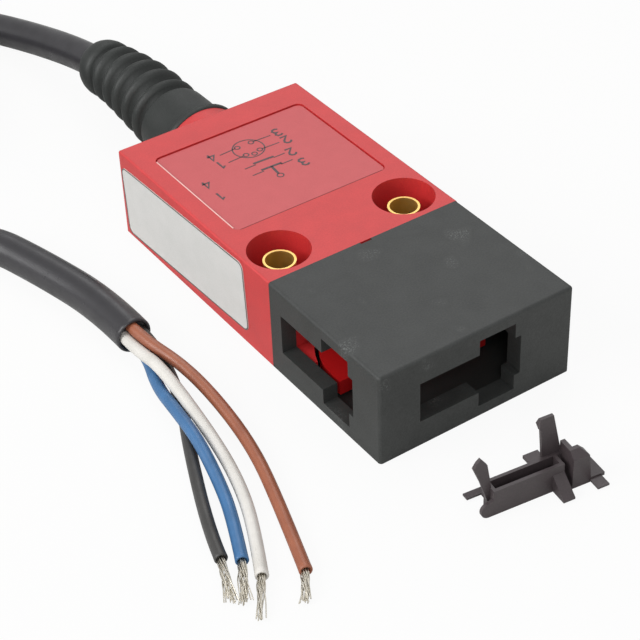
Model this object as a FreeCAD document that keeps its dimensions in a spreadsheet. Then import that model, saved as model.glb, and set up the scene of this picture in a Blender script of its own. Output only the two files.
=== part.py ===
import FreeCAD, Part
import Sketcher
import math
import operator
import os
from types import SimpleNamespace

# Tongue interlock switch, miniature two-entry type, with its cable and the loose slot plug.
# Millimetres. The origin is on the mounting face, midway between the two fixing holes.
# +Z is up through the fixing holes, -Y points to the head, +Y to the cable, -X to the side entry.

doc = FreeCAD.newDocument("tongue_interlock_switch")
sheet = doc.addObject("Spreadsheet::Sheet", "Sizes")


# Lengths that carry their own formula

WORK = {"+": operator.add, "-": operator.sub, "*": operator.mul, "/": operator.truediv}


class Size:
    """A number together with the spreadsheet formula that it comes from."""

    def __init__(self, value, text):
        self.value = value
        self.text = text

    def joined(self, other, sign, turned=False):
        other = as_size(other)
        left, right = (other, self) if turned else (self, other)
        return Size(WORK[sign](left.value, right.value), f"({left.text} {sign} {right.text})")

    def __add__(self, other):
        return self.joined(other, "+")

    def __radd__(self, other):
        return self.joined(other, "+", True)

    def __sub__(self, other):
        return self.joined(other, "-")

    def __rsub__(self, other):
        return self.joined(other, "-", True)

    def __mul__(self, other):
        return self.joined(other, "*")

    def __rmul__(self, other):
        return self.joined(other, "*", True)

    def __truediv__(self, other):
        return self.joined(other, "/")

    def __neg__(self):
        return Size(-self.value, f"(0 - {self.text})")

    def __float__(self):
        return float(self.value)


def as_size(number):
    """A plain number as a Size."""
    return number if isinstance(number, Size) else Size(float(number), repr(float(number)))


def bind(thing, name, size):
    """Ties a property of a document object to the sheet."""
    thing.setExpression(name, as_size(size).text)


# Driving dimensions in millimetres

lengths = {
    # The case
    "body_width": 33,  # width of body and head
    "body_height": 15,  # height of body and head
    "body_length": 42,  # length of the red body
    "head_length": 26,  # length of the black head
    "seam_offset": 5.6,  # fixing holes back from the seam of head and body
    "hole_spacing": 22,  # fixing hole centres
    "sleeve_bore": 4.2,  # bore of the brass sleeves
    "sleeve_diameter": 4.9,  # outside of the brass sleeves
    "sleeve_recess": 1.8,  # sleeve rim below the top face
    "counterbore": 9.4,  # diameter of the recess round each sleeve
    "counterbore_depth": 7,  # depth of the recess round each sleeve
    "side_wall": 1.8,  # side wall of the body
    "rear_wall": 2,  # rear wall of the body
    "top_wall": 1.5,  # top wall of the body
    "front_block": 11.6,  # solid front of the body that holds sleeves and guide
    "cover_thickness": 1.5,  # bottom cover
    "cover_ledge": 0.8,  # ledge that the bottom cover seats on
    "fit_gap": 0.05,  # clearance of seated pieces, each side
    "press_gap": 0.01,  # clearance of pressed-in round pieces, each side
    "edge_radius": 0.35,  # rounding of the body's edges
    "panel_width": 27,  # label panel across
    "panel_length": 23.6,  # label panel along
    "panel_start": 12.9,  # label panel back from the seam
    "panel_depth": 0.4,  # label panel recess
    "panel_gap": 0.2,  # label panel clear of its recess, each side
    "panel_corner": 1.2,  # corner radius of the label panel recess
    "panel_thickness": 0.2,  # label panel film
    "side_label_length": 34.6,  # side label along
    "side_label_height": 12,  # side label up
    "side_label_corner": 1.2,  # corner radius of the side label
    "label_thickness": 0.12,  # side label film
    "label_margin": 1,  # side label in front of the rear face
    "label_drop": 0.1,  # side label below the middle of the body
    "boss_diameter": 14.4,  # cable boss on the rear wall
    "boss_length": 2.4,  # cable boss standing out
    # Head, slots and drum
    "head_front_wall": 2.8,  # front wall of the head
    "head_side_wall": 2.4,  # side walls of the head
    "head_top_wall": 1.2,  # top wall and base plate of the head
    "head_edge_radius": 0.5,  # rounding of the head's edges
    "base_ledge": 0.9,  # ledge that the head's base plate seats on
    "slot_length": 17.2,  # key slot along
    "slot_height": 6.6,  # key slot up
    "slot_side": 8.3,  # key slot from the drum axis to its short side
    "ear_length": 6.2,  # cross part of the key slot along
    "ear_height": 11.5,  # cross part of the key slot up
    "ear_side": 1.7,  # cross part of the slot from the drum axis
    "axis_from_walls": 15,  # drum axis behind the front and side faces
    "disc_radius": 12,  # drum discs
    "disc_thickness": 2.4,  # drum discs
    "disc_gap": 0.3,  # drum discs clear of the head's top and base
    "notch_margin": 0.3,  # drum notch wider than the slot's cross part, each side
    "notch_floor": 8.6,  # drum notch floor from the drum axis
    "drum_flat": 4.9,  # flat front of the drum discs from the drum axis
    "cam_radius": 4.6,  # eccentric cam
    "cam_throw": 2.5,  # cam centre from the drum axis, and plunger travel
    "hub_radius": 3,  # drum hub round the axle
    "axle_diameter": 3,  # drum axle
    "axle_seat": 0.6,  # axle let into the head's top and base
    "running_gap": 0.05,  # radial clearance of axle and plunger
    "relief_radius": 12.6,  # hollow in the body's front that clears the drum
    "spigot_length": 2.3,  # spigots of the body inside the head
    "spigot_width": 1.9,  # spigots across
    "spigot_gap": 0.5,  # spigots clear of the drum space above and below
    "sill_length": 7,  # sill of the body beside the drum, inside the head
    "sill_width": 4,  # sill across, before the drum's hollow is cut
    "notch_width": 1.9,  # gate notch in the head's rear edge
    "notch_depth": 0.4,  # gate notch along
    # Plunger and contacts
    "plunger_diameter": 4,  # plunger
    "plunger_gap": 0.1,  # plunger nose clear of the cam
    "collar_diameter": 7,  # plunger collar
    "collar_thickness": 1.2,  # plunger collar
    "guide_diameter": 6.4,  # plunger guide bush
    "guide_length": 8,  # guide bush inside the front of the body
    "guide_flange": 7.8,  # flange of the guide bush
    "flange_thickness": 1,  # flange of the guide bush
    "seal_thickness": 2,  # plunger seal
    "stop_gap": 0.3,  # collar clear of the guide at full travel
    "carriage_width": 5,  # contact carriage across
    "carriage_length": 12,  # contact carriage along
    "carriage_height": 7.8,  # contact carriage up
    "window_length": 3.8,  # window of the carriage along
    "window_height": 4,  # window of the carriage up
    "window_front": 2.4,  # carriage in front of the first window
    "window_rib": 0.6,  # carriage between its windows
    "bridge_thickness": 0.5,  # contact bridge strip
    "bridge_length": 17,  # contact bridge across
    "bridge_height": 3,  # contact bridge up
    "contact_reach": 7,  # contact tips out from the plunger axis
    "tip_diameter": 2.2,  # contact tips
    "tip_thickness": 0.5,  # contact tips
    "contact_gap": 0.1,  # closed contact tips apart
    "blade_thickness": 0.8,  # fixed contact blades
    "blade_width": 3,  # fixed contact blades
    "blade_top": 9.5,  # top of the fixed contact blades
    "base_thickness": 2,  # contact base plate
    "base_gap": 0.2,  # contact base clear of the cavity walls
    "rail_gap": 0.1,  # carriage clear of its rails, each side
    "rail_width": 0.8,  # rails of the carriage
    "rail_height": 1,  # rails of the carriage
    "foot_length": 3.4,  # soldering foot of each fixed contact
    "spring_wire": 0.5,  # wire of the return spring
    "spring_radius": 2.2,  # middle of the return spring
    "bridge_spring_wire": 0.4,  # wire of the bridge springs
    "bridge_spring_radius": 1.2,  # middle of the bridge springs
    "spring_post": 1.5,  # wall that the return spring leans on
    "post_width": 7,  # wall behind the return spring across
    "potting_length": 3.4,  # resin plug behind the contact block
    "potting_width": 24,  # resin plug across
    # Cable, boot and cores
    "jacket_diameter": 5.6,  # cable jacket
    "core_diameter": 1.8,  # insulated cores
    "core_gap": 0.03,  # cores clear of one another in the jacket
    "core_straight": 4,  # cores straight out of the cut end
    "solder_gap": 0.3,  # inner leads clear of the soldering feet and of one another
    "solder_overlap": 2,  # inner leads along the soldering feet they lie on
    "lead_run": 4,  # outer leads straight behind the soldering feet
    "strand_diameter": 1,  # bundle of bare strands
    "boot_flange": 14.8,  # flange of the boot
    "boot_flange_length": 1.3,  # flange of the boot along
    "boot_root": 12.6,  # boot where it leaves the flange
    "boot_tip": 8.8,  # boot at its last rib
    "boot_smooth": 10.5,  # smooth part of the boot
    "rib_pitch": 3.75,  # pitch of the boot's ribs
    "rib_crown": 1.9,  # crown of the boot's ribs along
    "rib_height": 1.1,  # ribs above the core of the boot
    "coil_radius": 33.5,  # middle of the coiled cable
    # Slot plug, which lies loose in front of the head
    "plug_gap": 0.3,  # plug inside a key slot, each side
    "plug_depth": 2.5,  # channel of the plug across
    "plug_wall": 0.5,  # walls of the plug
    "plug_floor": 0.8,  # floor of the plug's channel
    "plug_rise": 4.2,  # walls of the plug's channel up
    "plug_nose": 1.2,  # radius of the nose hook
    "plug_nose_place": 0.45,  # middle of the nose hook
    "plug_step": 2.9,  # near wall up, where it runs out to the nose hook
    "plug_end": 1.1,  # end wall of the channel from the nose
    "plug_foot_place": 10.1,  # sloped foot from the nose
    "plug_foot_width": 1.8,  # feet along
    "plug_foot_reach": 2.8,  # feet out from the channel
    "plug_foot_low": 0.25,  # feet clear of the surface
    "plug_foot_thickness": 0.3,  # feet at their ends
    "plug_block_place": 12.7,  # block of the plug from the nose
    "plug_block_length": 3,  # block of the plug along
    "plug_block_depth": 1.6,  # block of the plug across
    "plug_block_margin": 0.85,  # block in front of the channel
    "plug_bevel": 1,  # bevel on the block's front
    "plug_rib": 0.7,  # rib behind the block along
    "plug_lip": 2.1,  # lip of the plug past its block
    "plug_tab_reach": 1.1,  # tab behind the nose across
    "plug_tab_gap": 1.4,  # tab clear of the channel
    "plug_wing_place": 8,  # wing behind the channel from the nose
    "plug_wing_width": 2.3,  # wing along
    "plug_wing_reach": 1.6,  # wing out from the channel
    "plug_snap_place": 10,  # snap arm from the nose
    "plug_snap_root": 2.9,  # snap arm where it leaves the channel
    "plug_snap_tip": 2.05,  # snap arm at its top
    "plug_snap_lean": 0.55,  # snap arm's top ahead of its root
    "plug_snap_hook": 0.6,  # hook of the snap arm
    "plug_leaf_height": 9.7,  # leaf spring up
    "plug_leaf_low": 2,  # leaf spring's lower end
    "plug_leaf_stem": 0.9,  # stem of the leaf spring along
    "plug_leaf_width": 2.3,  # leaf along
    "plug_beside": 11.5,  # plug's nose to the left of the mounting axis
    "plug_ahead": 16.4,  # plug's nose in front of the head
}
angles = {
    "plug_turn": 7.1,  # direction of the plug, degrees
    "side_label_tilt": 2.7,  # side label put on crooked, degrees
    "cam_rest_angle": 150,  # direction of the cam centre at rest, degrees from +X
}
counts = {
    "spring_turns": 4,  # turns of the return spring
    "bridge_spring_turns": 3,  # turns of the bridge springs
    "rib_count": 7,  # ribs of the boot
}

dims = SimpleNamespace()
for row, (alias, value) in enumerate([*lengths.items(), *angles.items(), *counts.items()], start=1):
    sheet.set(f"A{row}", alias.replace("_", " "))
    sheet.set(f"B{row}", str(value))
    sheet.setAlias(f"B{row}", alias)
    setattr(dims, alias, Size(float(value), f"Sizes.{alias}"))
doc.recompute()

OVERCUT = 1  # how far a cutting tool reaches past what it cuts

# Places worked out from the driving dimensions

half_width = dims.body_width / 2
mid_height = dims.body_height / 2
seam = -dims.seam_offset
front_face = seam - dims.head_length
rear_face = seam + dims.body_length
axis_x = dims.axis_from_walls - half_width
axis_y = front_face + dims.axis_from_walls
cavity_front = seam + dims.front_block
cavity_rear = rear_face - dims.rear_wall
cavity_side = half_width - dims.side_wall
cavity_top = dims.body_height - dims.top_wall
disc_low = dims.head_top_wall + dims.disc_gap
disc_high = dims.body_height - dims.head_top_wall - dims.disc_gap
plunger_x = axis_x
base_top = dims.cover_thickness + dims.base_thickness


# Helpers for sketches and features

def new_body(label):
    body = doc.addObject("PartDesign::Body", label)
    body.Label = label
    return body


def origin_plane(body, role):
    return next(plane for plane in body.Origin.OriginFeatures if plane.Role == role)


def sketch_on(body, role, name, offset=None):
    """A sketch on one of the body's own origin planes, moved along its normal."""
    sketch = body.newObject("Sketcher::SketchObject", name)
    sketch.AttachmentSupport = (origin_plane(body, role), [""])
    sketch.MapMode = "FlatFace"
    if offset is not None:
        bind(sketch, "AttachmentOffset.Base.z", offset)
    return sketch


def fix(sketch, kind, *where, size):
    """Adds one dimension to a sketch and ties it to the sheet."""
    index = sketch.addConstraint(Sketcher.Constraint(kind, *where, float(size)))
    if as_size(size).text.find("Sizes") >= 0:
        bind(sketch, f"Constraints[{index}]", size)


def add_outline(sketch, points):
    """A closed outline of straight lines through corner points given as pairs of Sizes."""
    first = sketch.GeometryCount
    count = len(points)
    vectors = [FreeCAD.Vector(float(x), float(y), 0) for x, y in points]
    for i in range(count):
        sketch.addGeometry(Part.LineSegment(vectors[i], vectors[(i + 1) % count]), False)
    for i in range(count):
        sketch.addConstraint(Sketcher.Constraint("Coincident", first + i, 2, first + (i + 1) % count, 1))
    for i, (x, y) in enumerate(points):
        fix(sketch, "DistanceX", first + i, 1, size=x)
        fix(sketch, "DistanceY", first + i, 1, size=y)


def add_rectangle(sketch, x, y):
    """A rectangle between two pairs of Sizes."""
    add_outline(sketch, [(x[0], y[0]), (x[1], y[0]), (x[1], y[1]), (x[0], y[1])])


def add_circle(sketch, centre, radius):
    """A circle with its centre and radius tied to the sheet."""
    index = sketch.GeometryCount
    middle = FreeCAD.Vector(float(centre[0]), float(centre[1]), 0)
    sketch.addGeometry(Part.Circle(middle, FreeCAD.Vector(0, 0, 1), float(radius)), False)
    fix(sketch, "DistanceX", index, 3, size=centre[0])
    fix(sketch, "DistanceY", index, 3, size=centre[1])
    fix(sketch, "Radius", index, size=radius)


def add_pad(body, sketch, length, backwards=False):
    pad = body.newObject("PartDesign::Pad", sketch.Name + "_pad")
    pad.Profile = sketch
    pad.Reversed = backwards
    bind(pad, "Length", length)
    sketch.Visibility = False
    return pad


def add_pocket(body, sketch, depth, along_normal=False):
    """Cuts against the sketch's normal, or along it."""
    pocket = body.newObject("PartDesign::Pocket", sketch.Name + "_pocket")
    pocket.Profile = sketch
    pocket.Reversed = along_normal
    bind(pocket, "Length", depth)
    return pocket


def add_fillet(body, radius, keep):
    """Rounds the edges of the body's last shape that keep() picks."""
    doc.recompute()
    base = body.Tip
    names = [f"Edge{i + 1}" for i, edge in enumerate(base.Shape.Edges) if keep(edge)]
    fillet = body.newObject("PartDesign::Fillet", body.Name + f"_round{len(body.Group)}")
    fillet.Base = (base, names)
    bind(fillet, "Radius", radius)
    return fillet


def box(name, x, y, z):
    """A Part box between three pairs of Sizes."""
    block = doc.addObject("Part::Box", name)
    for prop, (low, high) in zip(("Length", "Width", "Height"), (x, y, z)):
        bind(block, prop, as_size(high) - low)
    for prop, (low, high) in zip("xyz", (x, y, z)):
        bind(block, f"Placement.Base.{prop}", low)
    return block


TURNS = {
    "x": FreeCAD.Rotation(FreeCAD.Vector(0, 1, 0), 90),
    "y": FreeCAD.Rotation(FreeCAD.Vector(1, 0, 0), -90),
    "z": FreeCAD.Rotation(),
}


def cylinder(name, axis, centre, radius, low, high):
    """A Part cylinder along an axis, between two places on it. The centre gives the other two places."""
    rod = doc.addObject("Part::Cylinder", name)
    rod.Placement = FreeCAD.Placement(FreeCAD.Vector(), TURNS[axis])
    bind(rod, "Radius", radius)
    bind(rod, "Height", as_size(high) - low)
    places = dict(zip([letter for letter in "xyz" if letter != axis], centre))
    places[axis] = low
    for letter, place in places.items():
        bind(rod, f"Placement.Base.{letter}", place)
    return rod


def fuse(name, *shapes):
    whole = doc.addObject("Part::MultiFuse", name)
    whole.Shapes = list(shapes)
    return whole


def cut(name, base, *tools):
    rest = doc.addObject("Part::Cut", name)
    rest.Base = base
    rest.Tool = tools[0] if len(tools) == 1 else fuse(name + "_tools", *tools)
    return rest


def group(name, *shapes):
    """Like pieces kept as separate solids of one node."""
    whole = doc.addObject("Part::Compound", name)
    whole.Links = list(shapes)
    return whole


def plain_feature(name, shape):
    thing = doc.addObject("Part::Feature", name)
    thing.Shape = shape
    return thing


nodes = []


def node(thing, label=None):
    """Marks an object as a sub-part and gives it its name."""
    thing.Label = label or thing.Label
    nodes.append(thing)
    return thing


def is_upright(edge):
    """True for a straight edge along Z."""
    if not isinstance(edge.Curve, Part.Line):
        return False
    direction = edge.tangentAt(edge.FirstParameter)
    return abs(direction.z) > 0.999


def near(a, b):
    return abs(a - float(b)) < 0.01


# Red body: a moulded shell with a solid front, open below

housing = new_body("housing")
profile = sketch_on(housing, "XY_Plane", "housing_outline")
add_rectangle(profile, (-half_width, half_width), (seam, rear_face))
add_pad(housing, profile, dims.body_height)

profile = sketch_on(housing, "XZ_Plane", "boss_outline", -rear_face)
add_circle(profile, (0, mid_height), dims.boss_diameter / 2)
add_pad(housing, profile, dims.boss_length, backwards=True)

profile = sketch_on(housing, "XY_Plane", "spigot_outline", disc_low + dims.spigot_gap)
inside = half_width - dims.head_side_wall - dims.fit_gap * 2
for outer, inner in ((-inside, dims.spigot_width - inside), (inside - dims.spigot_width, inside)):
    add_rectangle(profile, (outer, inner), (seam - dims.spigot_length, seam + OVERCUT))
add_pad(housing, profile, disc_high - disc_low - dims.spigot_gap * 2)

profile = sketch_on(housing, "XY_Plane", "sill_outline", dims.head_top_wall + dims.fit_gap * 2)
add_rectangle(profile, (-inside, dims.sill_width - inside), (seam - dims.sill_length, seam + OVERCUT))
add_pad(housing, profile, disc_low + dims.disc_thickness - dims.head_top_wall - dims.fit_gap * 2)

profile = sketch_on(housing, "XY_Plane", "cavity_outline")
add_rectangle(profile, (-cavity_side, cavity_side), (cavity_front, cavity_rear))
add_pocket(housing, profile, cavity_top, along_normal=True)

profile = sketch_on(housing, "XY_Plane", "cover_seat_outline")
seat_side = cavity_side + dims.cover_ledge
seat_front, seat_rear = cavity_front - dims.cover_ledge, cavity_rear + dims.cover_ledge
add_rectangle(profile, (-seat_side, seat_side), (seat_front, seat_rear))
add_pocket(housing, profile, dims.cover_thickness, along_normal=True)

profile = sketch_on(housing, "XY_Plane", "panel_outline", dims.body_height)
panel_side, panel_low = dims.panel_width / 2, seam + dims.panel_start
panel_high = panel_low + dims.panel_length
add_rectangle(profile, (-panel_side, panel_side), (panel_low, panel_high))
add_pocket(housing, profile, dims.panel_depth)
add_fillet(housing, dims.panel_corner, lambda edge: is_upright(edge) and near(edge.Length, dims.panel_depth))

profile = sketch_on(housing, "XY_Plane", "counterbore_outline", dims.body_height)
for side in (-1, 1):
    add_circle(profile, (dims.hole_spacing / 2 * side, 0), dims.counterbore / 2)
add_pocket(housing, profile, dims.counterbore_depth)

profile = sketch_on(housing, "XY_Plane", "sleeve_hole_outline")
for side in (-1, 1):
    add_circle(profile, (dims.hole_spacing / 2 * side, 0), dims.sleeve_diameter / 2)
add_pocket(housing, profile, dims.body_height, along_normal=True)

profile = sketch_on(housing, "XY_Plane", "drum_relief_outline", dims.head_top_wall)
add_circle(profile, (axis_x, axis_y), dims.relief_radius)
add_pocket(housing, profile, dims.body_height - dims.head_top_wall * 2, along_normal=True)

profile = sketch_on(housing, "XZ_Plane", "guide_bore_outline", -cavity_front)
add_circle(profile, (plunger_x, mid_height), dims.guide_diameter / 2)
add_pocket(housing, profile, dims.front_block, along_normal=True)

profile = sketch_on(housing, "XZ_Plane", "cable_bore_outline", -(rear_face + dims.boss_length))
add_circle(profile, (0, mid_height), dims.jacket_diameter / 2 + dims.fit_gap)
add_pocket(housing, profile, dims.rear_wall + dims.boss_length, along_normal=True)


def is_case_corner(edge):
    """The rear corners and the top and side rims of the body."""
    bounds = edge.BoundBox
    rim = near(bounds.ZMin, dims.body_height) and near(bounds.ZMax, dims.body_height)
    along = near(abs(bounds.XMin), half_width) and near(bounds.XMin, bounds.XMax)
    back = near(bounds.YMin, rear_face) and near(bounds.YMax, rear_face)
    upright = is_upright(edge) and near(bounds.YMin, rear_face) and near(abs(bounds.XMin), half_width)
    return (rim and (along or back)) or upright


add_fillet(housing, dims.edge_radius, is_case_corner)
node(housing)

# Bottom cover, let into the ledge of the body

node(box("bottom_cover", (dims.fit_gap - seat_side, seat_side - dims.fit_gap),
         (seat_front + dims.fit_gap, seat_rear - dims.fit_gap), (0, dims.cover_thickness)))

# Brass sleeves in the fixing holes

sleeve_top = dims.body_height - dims.sleeve_recess
sleeves = []
for word, side in (("left", -1), ("right", 1)):
    centre = (dims.hole_spacing / 2 * side, 0)
    sleeve_radius = dims.sleeve_diameter / 2 - dims.press_gap
    tube = cylinder(f"{word}_sleeve_tube", "z", centre, sleeve_radius, 0, sleeve_top)
    hole = cylinder(f"{word}_sleeve_hole", "z", centre, dims.sleeve_bore / 2, -OVERCUT, sleeve_top + OVERCUT)
    sleeves.append(cut(f"{word}_sleeve", tube, hole))
node(group("mounting_sleeves", *sleeves))

# Label panel film, in its recess in the top of the body

panel = new_body("label_panel")
profile = sketch_on(panel, "XY_Plane", "panel_film_outline", dims.body_height - dims.panel_depth)
film_side = panel_side - dims.panel_gap
add_rectangle(profile, (-film_side, film_side), (panel_low + dims.panel_gap, panel_high - dims.panel_gap))
add_pad(panel, profile, dims.panel_thickness)
add_fillet(panel, dims.panel_corner - dims.panel_gap, is_upright)
node(panel)

# Plain side label, put on slightly crooked

label = new_body("side_label")
profile = sketch_on(label, "YZ_Plane", "side_label_outline")
half_label = (dims.side_label_length / 2, dims.side_label_height / 2)
add_rectangle(profile, (-half_label[0], half_label[0]), (-half_label[1], half_label[1]))
add_pad(label, profile, dims.label_thickness, backwards=True)
add_fillet(label, dims.side_label_corner, lambda edge: abs(edge.tangentAt(edge.FirstParameter).x) > 0.999)
label.Placement.Rotation = FreeCAD.Rotation(FreeCAD.Vector(1, 0, 0), -float(dims.side_label_tilt))
bind(label, "Placement.Base.x", -half_width)
bind(label, "Placement.Base.y", rear_face - half_label[0] - dims.label_margin)
bind(label, "Placement.Base.z", mid_height - dims.label_drop)
node(label)

# Black head: a moulded shell open below and behind, with a key slot in front and one in its side

head = new_body("head_shell")
profile = sketch_on(head, "XY_Plane", "head_outline")
add_rectangle(profile, (-half_width, half_width), (front_face, seam))
add_pad(head, profile, dims.body_height)

profile = sketch_on(head, "XY_Plane", "head_hollow_outline")
head_inside = half_width - dims.head_side_wall
add_rectangle(profile, (-head_inside, head_inside), (front_face + dims.head_front_wall, seam + OVERCUT))
add_pocket(head, profile, dims.body_height - dims.head_top_wall, along_normal=True)

profile = sketch_on(head, "XY_Plane", "base_seat_outline")
base_side = head_inside + dims.base_ledge
base_front = front_face + dims.head_front_wall - dims.base_ledge
add_rectangle(profile, (-base_side, base_side), (base_front, seam + OVERCUT))
add_pocket(head, profile, dims.head_top_wall, along_normal=True)


def add_key_slot(sketch, centre, turned):
    """The key slot's long part, with its cross part nearer the head's corner or towards it."""
    low, high = centre - dims.slot_side, centre - dims.slot_side + dims.slot_length
    ear_low, ear_high = centre + dims.ear_side, centre + dims.ear_side + dims.ear_length
    if turned:
        low, high = centre + dims.slot_side - dims.slot_length, centre + dims.slot_side
        ear_low, ear_high = centre - dims.ear_side - dims.ear_length, centre - dims.ear_side
    slot = [(low, mid_height - dims.slot_height / 2), (ear_low, mid_height - dims.slot_height / 2),
            (ear_low, mid_height - dims.ear_height / 2), (ear_high, mid_height - dims.ear_height / 2),
            (ear_high, mid_height - dims.slot_height / 2), (high, mid_height - dims.slot_height / 2)]
    upper = [(along, dims.body_height - up) for along, up in reversed(slot)]
    add_outline(sketch, slot + upper)


profile = sketch_on(head, "XZ_Plane", "front_slot_outline", -front_face)
add_key_slot(profile, axis_x, turned=False)
add_pocket(head, profile, dims.head_front_wall)

profile = sketch_on(head, "YZ_Plane", "side_slot_outline", -half_width)
add_key_slot(profile, axis_y, turned=True)
add_pocket(head, profile, dims.head_side_wall, along_normal=True)

profile = sketch_on(head, "XY_Plane", "axle_seat_outline", dims.body_height - dims.head_top_wall)
add_circle(profile, (axis_x, axis_y), dims.axle_diameter / 2)
add_pocket(head, profile, dims.axle_seat, along_normal=True)

profile = sketch_on(head, "XY_Plane", "gate_notch_outline", dims.body_height)
half_notch = dims.notch_width / 2
add_rectangle(profile, (-half_notch, half_notch), (seam - dims.notch_depth, seam + OVERCUT))
add_pocket(head, profile, dims.head_top_wall)


def is_head_corner(edge):
    """The front corners and the top rims of the head."""
    bounds = edge.BoundBox
    rim = near(bounds.ZMin, dims.body_height) and near(bounds.ZMax, dims.body_height)
    along = near(abs(bounds.XMin), half_width) and near(bounds.XMin, bounds.XMax)
    front = near(bounds.YMin, front_face) and near(bounds.YMax, front_face)
    upright = is_upright(edge) and near(bounds.YMin, front_face) and near(abs(bounds.XMin), half_width)
    return (rim and (along or front)) or upright


add_fillet(head, dims.head_edge_radius, is_head_corner)
node(head)

# Base plate of the head, with the lower seat of the axle

plate = box("head_base_plate", (dims.fit_gap - base_side, base_side - dims.fit_gap),
            (base_front + dims.fit_gap, seam - dims.fit_gap), (0, dims.head_top_wall))
axis = (axis_x, axis_y)
axle_low = dims.head_top_wall - dims.axle_seat
axle_high = dims.body_height - dims.head_top_wall + dims.axle_seat
seat = cylinder("head_base_seat", "z", axis, dims.axle_diameter / 2, axle_low, dims.head_top_wall + OVERCUT)
node(cut("head_base", plate, seat))

# Steel axle of the drum

node(cylinder("drum_axle", "z", axis, dims.axle_diameter / 2 - dims.press_gap, axle_low, axle_high))

# Drum: two discs with a flat front and a side notch, on a hub, with the eccentric cam between them

drum = new_body("drum")


def add_key_room(sketch):
    """The flat in front, and the notch in line with the cross part of the side slot."""
    low = dims.ear_side - dims.notch_margin
    beyond = dims.disc_radius + OVERCUT
    add_outline(sketch, [
        (axis_x - beyond, axis_y - beyond), (axis_x + beyond, axis_y - beyond),
        (axis_x + beyond, axis_y - dims.drum_flat), (axis_x - dims.notch_floor, axis_y - dims.drum_flat),
        (axis_x - dims.notch_floor, axis_y - low), (axis_x - beyond, axis_y - low)])


for word, low in (("lower", disc_low), ("upper", disc_high - dims.disc_thickness)):
    if word == "upper":
        angle = math.radians(float(dims.cam_rest_angle))
        middle = (axis_x + dims.cam_throw * Size(math.cos(angle), "cos(Sizes.cam_rest_angle * 1deg)"),
                  axis_y + dims.cam_throw * Size(math.sin(angle), "sin(Sizes.cam_rest_angle * 1deg)"))
        profile = sketch_on(drum, "XY_Plane", "cam_outline", disc_low + dims.disc_thickness)
        add_circle(profile, middle, dims.cam_radius)
        add_pad(drum, profile, disc_high - disc_low - dims.disc_thickness * 2)
        profile = sketch_on(drum, "XY_Plane", "hub_outline", disc_low + dims.disc_thickness)
        add_circle(profile, axis, dims.hub_radius)
        add_pad(drum, profile, disc_high - disc_low - dims.disc_thickness * 2)
    profile = sketch_on(drum, "XY_Plane", f"{word}_disc_outline", low)
    add_circle(profile, axis, dims.disc_radius)
    add_pad(drum, profile, dims.disc_thickness)
    profile = sketch_on(drum, "XY_Plane", f"{word}_key_room", low)
    add_key_room(profile)
    add_pocket(drum, profile, dims.disc_thickness, along_normal=True)

profile = sketch_on(drum, "XY_Plane", "drum_bore_outline", disc_low)
add_circle(profile, axis, dims.axle_diameter / 2 + dims.running_gap)
add_pocket(drum, profile, disc_high - disc_low, along_normal=True)
node(drum)

# Plunger: a turned pin with a ball nose that rides on the cam, and a collar behind its guide

nose_radius = dims.plunger_diameter / 2
rest_angle = math.radians(float(dims.cam_rest_angle) - 90)
across = dims.cam_throw * Size(math.sin(rest_angle), "sin((Sizes.cam_rest_angle - 90) * 1deg)")
ahead = dims.cam_throw * Size(math.cos(rest_angle), "cos((Sizes.cam_rest_angle - 90) * 1deg)")
reach = dims.cam_radius + nose_radius
slant = Size(math.sqrt(float(reach) ** 2 - float(across) ** 2),
             f"sqrt({reach.text} * {reach.text} - {across.text} * {across.text})")
nose_centre = axis_y + ahead + slant + dims.plunger_gap
guide_front = cavity_front - dims.guide_length
flange_rear = cavity_front + dims.flange_thickness
collar_front = flange_rear + dims.stop_gap + dims.cam_throw
collar_rear = collar_front + dims.collar_thickness

plunger = new_body("plunger")
profile = sketch_on(plunger, "XZ_Plane", "plunger_outline", -nose_centre)
add_circle(profile, (plunger_x, mid_height), nose_radius)
add_pad(plunger, profile, collar_rear - nose_centre, backwards=True)
profile = sketch_on(plunger, "XZ_Plane", "collar_outline", -collar_front)
add_circle(profile, (plunger_x, mid_height), dims.collar_diameter / 2)
add_pad(plunger, profile, dims.collar_thickness, backwards=True)
profile = sketch_on(plunger, "XY_Plane", "nose_outline", mid_height)
start, end = (plunger_x, nose_centre - nose_radius), (plunger_x + nose_radius, nose_centre)
profile.addGeometry(Part.LineSegment(FreeCAD.Vector(float(start[0]), float(start[1]), 0),
                                     FreeCAD.Vector(float(start[0]), float(end[1]), 0)), False)
profile.addGeometry(Part.LineSegment(FreeCAD.Vector(float(start[0]), float(end[1]), 0),
                                     FreeCAD.Vector(float(end[0]), float(end[1]), 0)), False)
ball = Part.Circle(FreeCAD.Vector(float(plunger_x), float(nose_centre), 0), FreeCAD.Vector(0, 0, 1),
                   float(nose_radius))
profile.addGeometry(Part.ArcOfCircle(ball, -math.pi / 2, 0), False)
profile.addConstraint(Sketcher.Constraint("Coincident", 0, 2, 1, 1))
profile.addConstraint(Sketcher.Constraint("Coincident", 1, 2, 2, 2))
profile.addConstraint(Sketcher.Constraint("Coincident", 2, 1, 0, 1))
profile.addConstraint(Sketcher.Constraint("Coincident", 2, 3, 1, 1))
profile.addConstraint(Sketcher.Constraint("Horizontal", 1))
profile.addConstraint(Sketcher.Constraint("Vertical", 0))
fix(profile, "DistanceX", 1, 1, size=plunger_x)
fix(profile, "DistanceY", 1, 1, size=nose_centre)
fix(profile, "Radius", 2, size=nose_radius)
nose = plunger.newObject("PartDesign::Revolution", "nose_revolution")
nose.Profile = profile
nose.ReferenceAxis = (profile, ["Edge1"])
nose.Angle = 360
node(plunger)

# Guide bush and seal of the plunger, in the front of the body

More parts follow.
